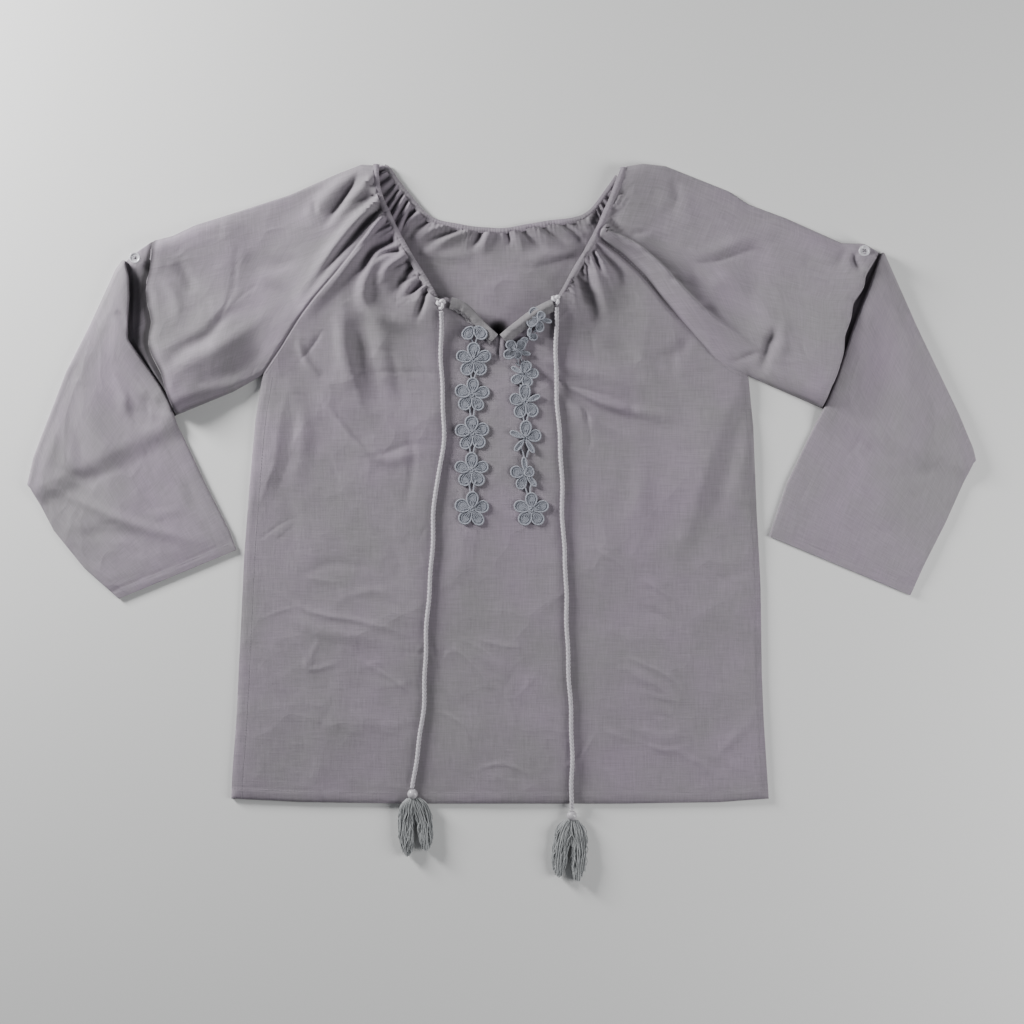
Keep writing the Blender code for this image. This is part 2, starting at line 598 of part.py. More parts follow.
def make_sleeve(name, sleeve, front_ring, back_ring):
    """A sleeve: a flattened tube, gathered at the neck and folded back over itself at the elbow."""
    front_places = spaced(0, (0.2, 7), (1.0, 9))
    back_places = spaced(0, (0.18, 3), (1.0, 4))
    faces = []
    for outer, inset in ((True, RIM_INSET), (False, RIM_INSET + RIM_WALL)):
        front = sleeve_layer(sleeve, front_ring, inset, front_places, True, outer)
        back = sleeve_layer(sleeve, back_ring, inset, back_places, False, outer)
        edge_inset = inset - RIM_INSET
        edges = [sleeve_layer(sleeve, ring, edge_inset, np.array([0.0, 1.0]), side, outer)
                 for ring, side in ((front_ring, True), (back_ring, False))]
        edge = 0.5 * (edges[0] + edges[1])
        faces.append(np.concatenate(
            [edge[:, :1], front, edge[:, 1:], back[:, ::-1]], axis=1))
    outer, inner = faces
    return tube_solid(name, outer, inner, CLOTH)


def make_sleeves():
    """Both sleeves, from the neck and raglan edges that their panels share."""
    shift = np.array([0.5 * SEAM_GAP, 0])
    neck = FRONT_NECK_LEFT[::-1]
    neck = neck[neck[:, 1] > RAGLAN_LEFT[-1][1] + 4]
    front = joined([LEFT.top[0]], neck[1:], RAGLAN_LEFT[::-1]) - shift
    neck = BACK_NECK[(BACK_NECK[:, 0] < -98) & (BACK_NECK[:, 0] > -124)]
    back = joined([LEFT.top[0]], neck, BACK_RAGLAN_LEFT[::-1]) - shift
    make_sleeve("sleeve_left", LEFT, front, back)
    neck = FRONT_NECK_RIGHT[FRONT_NECK_RIGHT[:, 1] > RAGLAN_RIGHT[0][1] + 4][::-1]
    front = joined([RIGHT.top[0]], neck[1:], RAGLAN_RIGHT) + shift
    neck = BACK_NECK[(BACK_NECK[:, 0] > 106)][::-1]
    back = joined([RIGHT.top[0]], neck, BACK_RAGLAN_RIGHT) + shift
    make_sleeve("sleeve_right", RIGHT, front, back)


def make_band(name, centre, width, thick, finish):
    """A flat band with rounded edges along a line of centres."""
    along = np.gradient(centre, axis=0)
    along /= np.linalg.norm(along, axis=1)[:, None]
    flat = np.stack([-along[:, 1], along[:, 0], np.zeros(len(along))], -1)
    flat /= np.linalg.norm(flat, axis=1)[:, None]
    up = np.cross(along, flat)
    profile = [(-0.5, 0), (-0.34, 0.5), (0.34, 0.5), (0.5, 0), (0.34, -0.5), (-0.34, -0.5)]
    rings = np.stack([centre + flat * width * a + up * thick * b for a, b in profile], 1)
    return loft_solid(name, rings, finish)


def make_bindings():
    """The neck binding: two front stretches that fold over the shoulders, and the back."""
    for name, path, tip in (("binding_left", NECK_LEFT, (-130.3, 329.4)),
                            ("binding_right", NECK_RIGHT, (127.4, 328.6))):
        places = at(smooth(path), np.linspace(0, 1, 17))
        height = 2 * WALL + LAYER_GAP + (NECK_RISE + EASE) * edge_roll(places[:, 0], places[:, 1])
        centre = with_height(places, height)
        end = np.array([*tip, max(height[-1] - 1.6, 3.6)])
        make_band(name, np.concatenate([centre, [end]]), BINDING_WIDTH, BINDING_THICK, CLOTH)
    places = at(smooth(NECK_BACK), np.linspace(0, 1, 36))
    centre = with_height(places, np.full(len(places), BINDING_BACK_Z))
    make_band("binding_back", centre, BINDING_WIDTH, BINDING_THICK, CLOTH)


def make_facing(name, edge, start, stop):
    """A slit facing turned out on the front, from its slit edge inwards."""
    places = at(edge, np.linspace(start, stop, 9))
    lines = [shifted(places, -inset) for inset in (0.6, 0.5 * FACING_WIDTH, FACING_WIDTH)]
    points = np.stack(lines, 0)
    low = rest_height(points[..., 0], points[..., 1], 3.0) + SEAM_GAP
    return sheet_solid(name, with_height(points, low), with_height(points, low + FACING_THICK), CLOTH)


def over_facing(x, y):
    """How far the facings lift what lies on them."""
    slit = np.minimum(nearest(SLIT_LEFT, x, y)[0], nearest(SLIT_RIGHT, x, y)[0])
    return (FACING_THICK + SEAM_GAP) * (1 - ramp((slit - FACING_WIDTH - 4) / 5))


def oval(centre, along, across, direction, points):
    """Points round an oval whose long axis lies in a direction."""
    turn = np.arange(points) * 2 * math.pi / points
    c, s = math.cos(direction), math.sin(direction)
    u, v = along * np.cos(turn), across * np.sin(turn)
    return np.stack([centre[0] + u * c - v * s, centre[1] + u * s + v * c], -1)


def without_slight_turns(loop, least=0.2, shortest=0.7):
    """A closed outline without the corners that hardly turn or that crowd the one before."""
    kept = []
    for k, point in enumerate(loop):
        into = point - (kept[-1] if kept else loop[k - 1])
        onward = loop[(k + 1) % len(loop)] - point
        turn = abs(math.atan2(into[0] * onward[1] - into[1] * onward[0], into @ onward))
        if turn > least and np.linalg.norm(into) > shortest:
            kept.append(point)
    return np.array(kept)


def apart(points, least):
    """The points that keep a distance from those before them."""
    kept = []
    for point in points:
        if all(math.dist(point, other) > least for other in kept):
            kept.append(point)
    return kept


def make_lace(name, daisies):
    """A chain of five-petal daisies joined by short bars, cut as one piece of lace."""
    shapes, middles = [], []
    for daisy in daisies:
        stretch = np.array([daisy.wide, daisy.high])
        centre = np.array([daisy.x, daisy.y])
        shapes.append(centre + oval((0, 0), FLOWER_EYE, FLOWER_EYE, 0, 6) * stretch)
        middles.append(centre)
        for petal in range(5):
            way = math.radians(90 + daisy.turn + 72 * petal)
            middle = (PETAL_OUT * math.cos(way), PETAL_OUT * math.sin(way))
            shapes.append(centre + oval(middle, PETAL_LONG, PETAL_WIDE, way, 8) * stretch)
            middles.append(centre + middle * stretch)
    for above, below in zip(daisies, daisies[1:]):
        ends = np.array([(above.x, above.y), (below.x, below.y)])
        way = (ends[1] - ends[0]) / np.linalg.norm(ends[1] - ends[0])
        side = np.array([-way[1], way[0]]) * 0.5 * LINK_WIDTH
        shapes.append(np.array([ends[0] + side, ends[0] - side, ends[1] - side, ends[1] + side]))
    corners, loops = [], []
    for shape in shapes:
        loops.append(list(range(len(corners), len(corners) + len(shape))))
        corners += [Vector(point) for point in shape.tolist()]
    flat, _, faces, *_ = delaunay_2d_cdt(corners, [], loops, 1, 1e-4)
    union = bmesh.new()
    verts = [union.verts.new((*point, 0)) for point in flat]
    for face in faces:
        union.faces.new([verts[k] for k in face])
    inner = [edge for edge in union.edges if not edge.is_boundary]
    bmesh.ops.dissolve_edges(union, edges=inner, use_verts=False)
    whole = max(union.faces, key=lambda face: len(face.verts))
    outline = without_slight_turns(np.array([vert.co[:2] for vert in whole.verts]))
    union.free()
    corners = [Vector(point) for point in [*outline.tolist(), *apart(middles, LACE_MIDDLES_APART)]]
    flat, _, top, *_ = delaunay_2d_cdt(corners, [], [list(range(len(outline)))], 1, 1e-4)
    points = np.array(flat)
    count = len(points)
    ways = {(face[k - 1], face[k]) for face in top for k in range(3)}
    rim = sorted(way for way in ways if way[::-1] not in ways)
    low = rest_height(points[:, 0], points[:, 1], 7.0) + over_facing(points[:, 0], points[:, 1])
    low = low + SEAM_GAP
    solid = np.concatenate([with_height(points, low), with_height(points, low + LACE_THICK)])
    faces = [face[::-1] for face in top] + [[k + count for k in face] for face in top]
    faces += [[a, b, b + count, a + count] for a, b in rim]
    return new_mesh(name, solid, faces, LACE)


def make_button(name, place):
    """A round shirt button with a turned rim."""
    body = bmesh.new()
    bmesh.ops.create_cone(body, cap_ends=True, segments=20, radius1=BUTTON_RADIUS * MM,
                          radius2=BUTTON_RADIUS * MM, depth=BUTTON_THICK * MM)
    rim = [edge for edge in body.edges if abs(edge.verts[0].co.z - edge.verts[1].co.z) < 1e-6]
    bmesh.ops.bevel(body, geom=rim, offset=0.6 * MM, segments=1, affect="EDGES")
    mesh = bpy.data.meshes.new(name)
    body.to_mesh(mesh)
    body.free()
    made = new_object(name, mesh, PEARL)
    height = rest_height(*place, BUTTON_RADIUS) - BUTTON_SETTLE + SEAM_GAP + 0.5 * BUTTON_THICK
    made.location = Vector((*place, float(height))) * MM
    return made


def make_ball(name, place, size, finish):
    """A rounded lump, such as a knot or a bead."""
    body = bmesh.new()
    bmesh.ops.create_uvsphere(body, u_segments=10, v_segments=6, radius=1)
    for vert in body.verts:
        vert.co = Vector([c * s * MM for c, s in zip(vert.co, size)])
    mesh = bpy.data.meshes.new(name)
    body.to_mesh(mesh)
    body.free()
    mesh.shade_smooth()
    made = new_object(name, mesh, finish)
    made.location = Vector(place) * MM
    return made


def lying_height(x, y, radius):
    """Height of a round thing's middle where it lies on the cloth, or past the hem on the surface."""
    on_cloth = np.asarray(y) > HEM[3][1] + 1
    past = ramp((HEM[3][1] - 2 - np.asarray(y, float)) / 8)
    cloth = np.where(on_cloth, rest_height(x, y, 4.0), 2 * WALL + LAYER_GAP)
    return (cloth + SEAM_GAP) * (1 - past) + SEAM_GAP * past + radius


def make_cord(name, route):
    """A drawcord: a round tube along a smooth curve through its route."""
    places = at(smooth(route), np.linspace(0, 1, 46))
    height = lying_height(places[:, 0], places[:, 1], CORD / 2)
    curve = bpy.data.curves.new(name, "CURVE")
    curve.dimensions = "3D"
    curve.bevel_depth = CORD / 2 * MM
    curve.bevel_resolution = 2
    curve.use_fill_caps = True
    spline = curve.splines.new("POLY")
    spline.points.add(len(places) - 1)
    for point, place, z in zip(spline.points, places, height):
        point.co = (place[0] * MM, place[1] * MM, z * MM, 1)
    return new_object(name, curve, CORD_COTTON)


def disc_place(s, t):
    """A place in a square grid moved into the round."""
    return s * math.sqrt(1 - t * t / 2), t * math.sqrt(1 - s * s / 2)


def make_tassel(name, top, end, spread):
    """A tassel of yarn on its side: a tied head whose end grows into separate strands."""
    top = np.array(top, float)
    end = np.array(end, float)
    way = (end - top[:2]) / np.linalg.norm(end - top[:2])
    side = np.array([-way[1], way[0]])
    length = np.linalg.norm(end - top[:2])
    wide, deep = TASSEL_CELLS

    def place(s, t, q):
        """A point of the bundle: s across, t up, q along it."""
        across, up = disc_place(s, t)
        open_out = ramp(q * 1.6)
        half = TASSEL_NECK + (spread - TASSEL_NECK) * open_out
        lobe = math.copysign(TASSEL_LOBES * open_out, across)
        parted = across * half + lobe + 0.8 * math.sin(6 * q + 2 * s)
        reach = length * q * (1 - 0.10 * s * s - 0.06 * (s > 0))
        fall = ramp((TASSEL_HEAD + reach) / 26)
        middle = top[2] * (1 - fall) + TASSEL_REST_Z * fall
        tall = TASSEL_TALL - 0.6 * open_out
        along = TASSEL_HEAD + reach * (1 - TASSEL_HEAD / length)
        spot = top[:2] + way * along + side * parted
        return np.array([*spot, middle + up * tall])

    points, faces = [], []

    def add(point):
        """Keep a point and give its number."""
        points.append(point)
        return len(points) - 1

    root = {}
    for i in range(wide + 1):
        for j in range(deep + 1):
            root[i, j] = add(place(2 * i / wide - 1, 2 * j / deep - 1, 0))
    rim = ([(i, 0) for i in range(wide)] + [(wide, j) for j in range(deep)]
           + [(i, deep) for i in range(wide, 0, -1)] + [(0, j) for j in range(deep, 0, -1)])
    rim_numbers = [root[key] for key in rim]
    centre = np.mean([points[k] for k in rim_numbers], axis=0)
    before = rim_numbers
    for share, size in ((0.5, 0.95), (1.0, 0.6)):
        middle = centre + (top - centre) * share
        ring = [add(middle + (points[k] - centre) * size) for k in rim_numbers]
        for k in range(len(ring)):
            n = (k + 1) % len(ring)
            faces.append([before[k], before[n], ring[n], ring[k]])
        before = ring
    faces.append(before[::-1])
    for i in range(wide):
        for j in range(deep):
            corners = [root[i, j], root[i + 1, j], root[i + 1, j + 1], root[i, j + 1]]
            s = (2 * i + 1) / wide - 1
            t = (2 * j + 1) / deep - 1
            ring = corners
            for step in range(STRAND_STEPS + 1):
                q = step / STRAND_STEPS
                share = STRAND_SHARE * (1 - STRAND_TAPER * q)
                edges = [(s - share / wide, t - share / deep), (s + share / wide, t - share / deep),
                         (s + share / wide, t + share / deep), (s - share / wide, t + share / deep)]
                fresh = [add(place(*edge, q)) for edge in edges]
                for k in range(4):
                    n = (k + 1) % 4
                    faces.append([ring[k], ring[n], fresh[n], fresh[k]])
                ring = fresh
            faces.append(ring)
    return new_mesh(name, points, faces, YARN)


def make_drawcord(side, cord):
    """One end of the drawcord: its knot at the neck, the cord, its bead and its tassel."""
    height = rest_height(*cord.knot, 6.0) - KNOT_SETTLE + SEAM_GAP + KNOT_SIZE[2]
    make_ball(f"knot_{side}", (*cord.knot, float(height)), KNOT_SIZE, CORD_COTTON)
    make_cord(f"cord_{side}", cord.route)
    bead_height = float(lying_height(*cord.bead, BEAD_RADIUS))
    make_ball(f"bead_{side}", (*cord.bead, bead_height), (BEAD_RADIUS, BEAD_LENGTH, BEAD_RADIUS), PEARL)
    way = np.array(cord.tassel_end) - np.array(cord.bead)
    way /= np.linalg.norm(way)
    top = np.array(cord.bead) + way * (BEAD_LENGTH + SEAM_GAP)
    make_tassel(f"tassel_{side}", (*top, bead_height - 0.4), cord.tassel_end, cord.spread)


def main():
    """Clear the scene and make every piece."""
    for thing in list(bpy.data.objects):
        bpy.data.objects.remove(thing)
    make_front()
    make_back()
    make_sleeves()
    make_bindings()
    make_facing("slit_facing_left", SLIT_LEFT, 0.24, 0.96)
    make_facing("slit_facing_right", SLIT_RIGHT, 0.04, 0.86)
    make_lace("lace_left", LACE_LEFT)
    make_lace("lace_right", LACE_RIGHT)
    make_button("button_left", LEFT.button)
    make_button("button_right", RIGHT.button)
    make_drawcord("left", CORD_LEFT)
    make_drawcord("right", CORD_RIGHT)


if __name__ == "__main__":
    main()
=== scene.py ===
"""The looks of a grey peasant top laid flat with its front up.

Cloth panels, folded raglan sleeves, the gathered neck, daisy lace, buttons and tasselled
drawcords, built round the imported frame. Tables and sizes are millimetres, and MM turns them
into metres where a mesh is made. +X runs across the top, +Y from hem to neck and +Z up.
"""

import logging
import math
from dataclasses import dataclass, field
from enum import Enum
from functools import cached_property
from typing import Callable, Iterable, Sequence

import bmesh
import bpy
import numpy as np
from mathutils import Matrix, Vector


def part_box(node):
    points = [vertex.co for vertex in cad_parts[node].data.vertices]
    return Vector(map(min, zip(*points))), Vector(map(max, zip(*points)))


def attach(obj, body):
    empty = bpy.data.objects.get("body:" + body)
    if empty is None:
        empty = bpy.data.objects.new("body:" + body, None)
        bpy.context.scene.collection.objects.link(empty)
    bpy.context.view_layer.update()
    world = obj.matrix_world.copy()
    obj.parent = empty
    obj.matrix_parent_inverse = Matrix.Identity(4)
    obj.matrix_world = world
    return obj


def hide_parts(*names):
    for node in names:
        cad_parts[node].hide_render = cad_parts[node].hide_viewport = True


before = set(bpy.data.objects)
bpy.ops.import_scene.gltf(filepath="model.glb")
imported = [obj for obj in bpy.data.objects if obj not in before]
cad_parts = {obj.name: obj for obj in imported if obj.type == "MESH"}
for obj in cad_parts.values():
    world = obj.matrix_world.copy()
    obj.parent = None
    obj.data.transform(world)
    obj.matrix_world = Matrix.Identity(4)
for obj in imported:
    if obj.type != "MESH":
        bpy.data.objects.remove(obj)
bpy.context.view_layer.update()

LOG = logging.getLogger("peasant_top")
MM = 0.001

Point = tuple[float, float]
Path = Sequence[Point]
Colour = tuple[float, float, float]

# Cloth
WALL = 1.2
LAYER_GAP = 0.4
SEAM_GAP = 0.3
FRONT_BASE = 2 * WALL + LAYER_GAP
SLEEVE_MIDDLE = WALL + 0.5 * LAYER_GAP
ELBOW_X = 300.0
BINDING_WIDTH = 6.0
CORD_WIDTH = 5.0

# Outlines, in order along each edge
NECK_LEFT = [(-71.5, 195.5), (-74.5, 201.9), (-89.8, 226), (-104, 250), (-118.2, 278.5),
             (-128, 302.6), (-130, 322)]
NECK_RIGHT = [(64.5, 197), (70.6, 208.4), (80.5, 226), (94.7, 250), (108, 278.5),
              (118, 302.5), (126, 324)]
NECK_BACK = [(-122.5, 329), (-117.5, 325), (-103, 305), (-88, 287), (-75, 274.5), (-51, 267.5),
             (-17, 262.7), (7, 262.7), (39, 268.4), (76, 273.6), (90, 279), (101, 290.5),
             (112, 305.5), (121, 319)]
SLIT_LEFT = [(-66, 188), (-57.7, 191.5), (-36.9, 185.1), (-15.1, 163.3), (-2.6, 151.8)]
SLIT_RIGHT = [(-2.6, 151.8), (10.9, 163.3), (27.6, 175.8), (44.2, 185.1), (58.6, 190.5)]
PLACKET = [(-2.6, 151.8), (-3.0, 140.0), (-2.8, 128.0)]
RAGLAN_LEFT = [(-249, 112), (-230, 140), (-212, 168), (-194, 191), (-173, 215), (-160, 231),
               (-140, 258), (-121.8, 279)]
RAGLAN_RIGHT = [(100.8, 255), (126, 239), (149.4, 217.2), (167, 193.1), (195.4, 160.3),
                (220, 132), (240, 117), (257, 111.5)]
BACK_RAGLAN_LEFT = [(-249, 112), (-205, 165), (-160, 215), (-120, 262), (-96, 290.5)]
BACK_RAGLAN_RIGHT = [(104, 287.5), (125, 262), (165, 215), (210, 165), (257, 111.5)]
SIDE_LEFT = [(-249, 112), (-256.4, 63.4), (-262.6, -5.2), (-267.8, -73.8), (-270.9, -140),
             (-276.1, -247.5), (-280.3, -302.6), (-281.3, -328.5)]
SIDE_RIGHT = [(257, 111.5), (262.1, 58.2), (265.4, -24.6), (269.7, -107.1), (271, -199.4),
              (273, -247.5), (276.5, -302.3), (278.2, -328.6)]
HEM = [(-281.3, -328.5), (-207.5, -332.2), (-91, -333.8), (-6.8, -333.8), (123.2, -333.8),
       (226.2, -332.3), (278.2, -328.6)]
HEM_Y = HEM[3][1]

# Points closer than this are taken for one
SAME_POINT = 0.8

# Cross sections of a fold, in widths from its line
FOLD_REACH = 4.0
CREASE_FALL = 1.6
CREASE_TOP = 0.02
LAPPED_FALL = (2.6, 0.75)
FACET_REACH = (1.0, 3.5)


class Slot(Enum):
    """Material slots."""

    CLOTH = "cloth"
    LACE = "lace"
    CORD = "cord"
    YARN = "yarn"
    BEAD = "bead"
    PEARL = "pearl"


class Crest(Enum):
    """The cross section of a fold.

    ROUND is a soft bell and CREASE is sharp on top. LAPPED is steep on the left of the fold's
    line and long on its right. FACET is a flat slope on the left that fades out on the right.
    """

    ROUND = "round"
    CREASE = "crease"
    LAPPED = "lapped"
    FACET = "facet"


class Start(Enum):
    """How a fold begins: at full height at a seam, or from nothing."""

    SEAM = "seam"
    FREE = "free"


def steps_of(path: Path) -> np.ndarray:
    """The length of each step of a path."""
    return np.linalg.norm(np.diff(path, axis=0), axis=1)


def travelled(path: Path) -> np.ndarray:
    """The distance along a path at each of its points."""
    return np.concatenate([[0], np.cumsum(steps_of(path))])


def at(path: Path, fractions: Iterable[float]) -> np.ndarray:
    """Read a path at fractions of its length.

    Args:
        path: points in order.
        fractions: places from 0 to 1.

    Returns:
        One point for each fraction.
    """
    line = np.asarray(path, float)
    marks = travelled(line) / steps_of(line).sum()
    return np.stack([np.interp(fractions, marks, line[:, k]) for k in range(line.shape[1])], -1)


def at_x(path: Path, fractions: np.ndarray) -> np.ndarray:
    """Read a path that runs left to right at fractions of its width.

    Args:
        path: points with growing x.
        fractions: places from 0 to 1.

    Returns:
        One point for each fraction.
    """
    line = np.asarray(path, float)
    x = line[0, 0] + np.asarray(fractions) * (line[-1, 0] - line[0, 0])
    return np.stack([x, np.interp(x, line[:, 0], line[:, 1])], -1)


def smooth(path: Path, per_step: int = 6) -> np.ndarray:
    """Draw a Catmull-Rom curve through the points of a path.

    Args:
        path: two points or more.
        per_step: points of the curve for each step of the path.

    Returns:
        The curve's points.
    """
    line = np.asarray(path, float)
    ends = np.concatenate([[2 * line[0] - line[1]], line, [2 * line[-1] - line[-2]]])
    t = (np.arange(per_step) / per_step)[:, None]
    curve = []
    for before, start, stop, after in zip(ends, ends[1:], ends[2:], ends[3:]):
        curve.append(0.5 * (2 * start + (stop - before) * t
                            + (2 * before - 5 * start + 4 * stop - after) * t * t
                            + (3 * start - before - 3 * stop + after) * t ** 3))
    return np.concatenate([*curve, line[-1:]])


def shifted(path: np.ndarray, distance: float) -> np.ndarray:
    """Move a path sideways.

    Args:
        path: points in order.
        distance: how far to its left.

    Returns:
        The moved points.
    """
    line = np.asarray(path, float)
    along = np.gradient(line, axis=0)
    along /= np.linalg.norm(along, axis=1)[:, None]
    return line + distance * np.stack([-along[:, 1], along[:, 0]], -1)


def nearest(path: Path, x: np.ndarray, y: np.ndarray) -> tuple[np.ndarray, np.ndarray, np.ndarray]:
    """Measure places against a path.

    Args:
        path: points in order.
        x: places across.
        y: places up.

    Returns:
        The distance, the fraction along the path, and +1 on its left or -1 on its right.
    """
    line = np.asarray(path, float)
    steps, marks = steps_of(line), travelled(line)
    gap = np.full(np.shape(x), np.inf)
    along = np.zeros(np.shape(x))
    side = np.ones(np.shape(x))
    for (ax, ay), (bx, by), step, mark in zip(line, line[1:], steps, marks):
        t = np.clip(((x - ax) * (bx - ax) + (y - ay) * (by - ay)) / step ** 2, 0, 1)
        dx = x - ax - t * (bx - ax)
        dy = y - ay - t * (by - ay)
        distance = np.hypot(dx, dy)
        closer = distance < gap
        gap = np.where(closer, distance, gap)
        along = np.where(closer, (mark + t * step) / marks[-1], along)
        side = np.where(closer, np.sign((bx - ax) * dy - (by - ay) * dx), side)
    return gap, along, side


def ramp(value: np.ndarray | float) -> np.ndarray:
    """0 below 0, 1 above 1 and smooth between."""
    t = np.clip(value, 0, 1)
    return t * t * (3 - 2 * t)


def uneven(x: np.ndarray, y: np.ndarray, size: float, seed: float = 0.0) -> np.ndarray:
    """Give smooth bumps that are the same on each run.

    Args:
        x: places across.
        y: places up.
        size: the distance between bumps.
        seed: a number that picks another pattern.

    Returns:
        Values from -1 to 1.
    """
    u, v = np.asarray(x, float) / size, np.asarray(y, float) / size
    i, j = np.floor(u), np.floor(v)
    fu, fv = ramp(u - i), ramp(v - j)

    def corner(a: int, b: int) -> np.ndarray:
        """The value at one corner of a bump's cell."""
        mixed = np.sin((i + a) * 127.1 + (j + b) * 311.7 + seed * 74.7) * 43758.5453
        return 2 * (mixed - np.floor(mixed)) - 1

    low = corner(0, 0) * (1 - fu) + corner(1, 0) * fu
    high = corner(0, 1) * (1 - fu) + corner(1, 1) * fu
    return low * (1 - fv) + high * fv


def spaced(start: float, *stretches: tuple[float, int]) -> np.ndarray:
    """Mark places along an edge.

    Args:
        start: the first place.
        stretches: each the place it ends at and how many steps it has.

    Returns:
        All the places, in order.
    """
    places = [start]
    for end, count in stretches:
        begin = places[-1]
        places += [begin + (end - begin) * k / count for k in range(1, count + 1)]
    return np.array(places)


def joined(*paths: np.ndarray) -> np.ndarray:
    """Paths end to end as one, leaving out points that repeat."""
    points = np.concatenate([np.asarray(path, float) for path in paths])
    keep = np.concatenate([[True], steps_of(points) > SAME_POINT])
    return points[keep]


def raised(points: np.ndarray, height: np.ndarray | float) -> np.ndarray:
    """Points in the plane given a height."""
    z = np.broadcast_to(np.asarray(height, float), points.shape[:-1])
    return np.concatenate([points, z[..., None]], -1)


def windowed(values: np.ndarray, reach: int, pick: Callable) -> np.ndarray:
    """Sum up the cells round each cell of a grid.

    Args:
        values: rows by columns.
        reach: how many cells each way.
        pick: np.min or np.mean.

    Returns:
        What pick makes of each cell's neighbours.
    """
    for axis in (0, 1):
        padded = np.concatenate([np.take(values, [0] * reach, axis), values,
                                 np.take(values, [-1] * reach, axis)], axis)
        count = values.shape[axis]
        values = pick([np.take(padded, range(k, k + count), axis) for k in range(2 * reach + 1)], 0)
    return values


@dataclass(frozen=True)
class Fold:
    """A ridge or trough along its own line; width and height in millimetres."""

    points: Path
    width: float
    end_width: float
    height: float
    start: Start = Start.FREE
    crest: Crest = Crest.ROUND

    @cached_property
    def path(self) -> np.ndarray:
        """The fold's line, smoothed."""
        return smooth(self.points)

    def height_at(self, x: np.ndarray, y: np.ndarray) -> np.ndarray:
        """Work out how far the fold lifts each place.

        Args:
            x: places across.
            y: places up.

        Returns:
            The lift at each place, below 0 in a trough.
        """
        reach = FOLD_REACH * max(self.width, self.end_width)
        low, high = self.path.min(0) - reach, self.path.max(0) + reach
        near = (x > low[0]) & (x < high[0]) & (y > low[1]) & (y < high[1])
        total = np.zeros(x.shape)
        if not near.any():
            return total
        gap, along, side = nearest(self.path, x[near], y[near])
        u = gap / (self.width + (self.end_width - self.width) * along)
        if self.crest is Crest.CREASE:
            profile = np.exp(-CREASE_FALL * np.sqrt(u * u + CREASE_TOP))
        elif self.crest is Crest.LAPPED:
            profile = np.exp(-((u * np.where(side > 0, *LAPPED_FALL)) ** 2))
        elif self.crest is Crest.FACET:
            slope = np.clip(1 - u / np.where(side > 0, *FACET_REACH), 0, 1)
            profile = slope ** np.where(side > 0, 1, 2)
        else:
            profile = np.exp(-(u * u))
        if self.start is Start.SEAM:
            taper = 0.5 + 0.5 * np.cos(np.pi * along ** 1.5)
        else:
            taper = np.sin(np.pi * along)
        total[near] = self.height * taper * profile
        return total


SEAM, FREE = Start.SEAM, Start.FREE
CREASE, LAPPED, FACET = Crest.CREASE, Crest.LAPPED, Crest.FACET

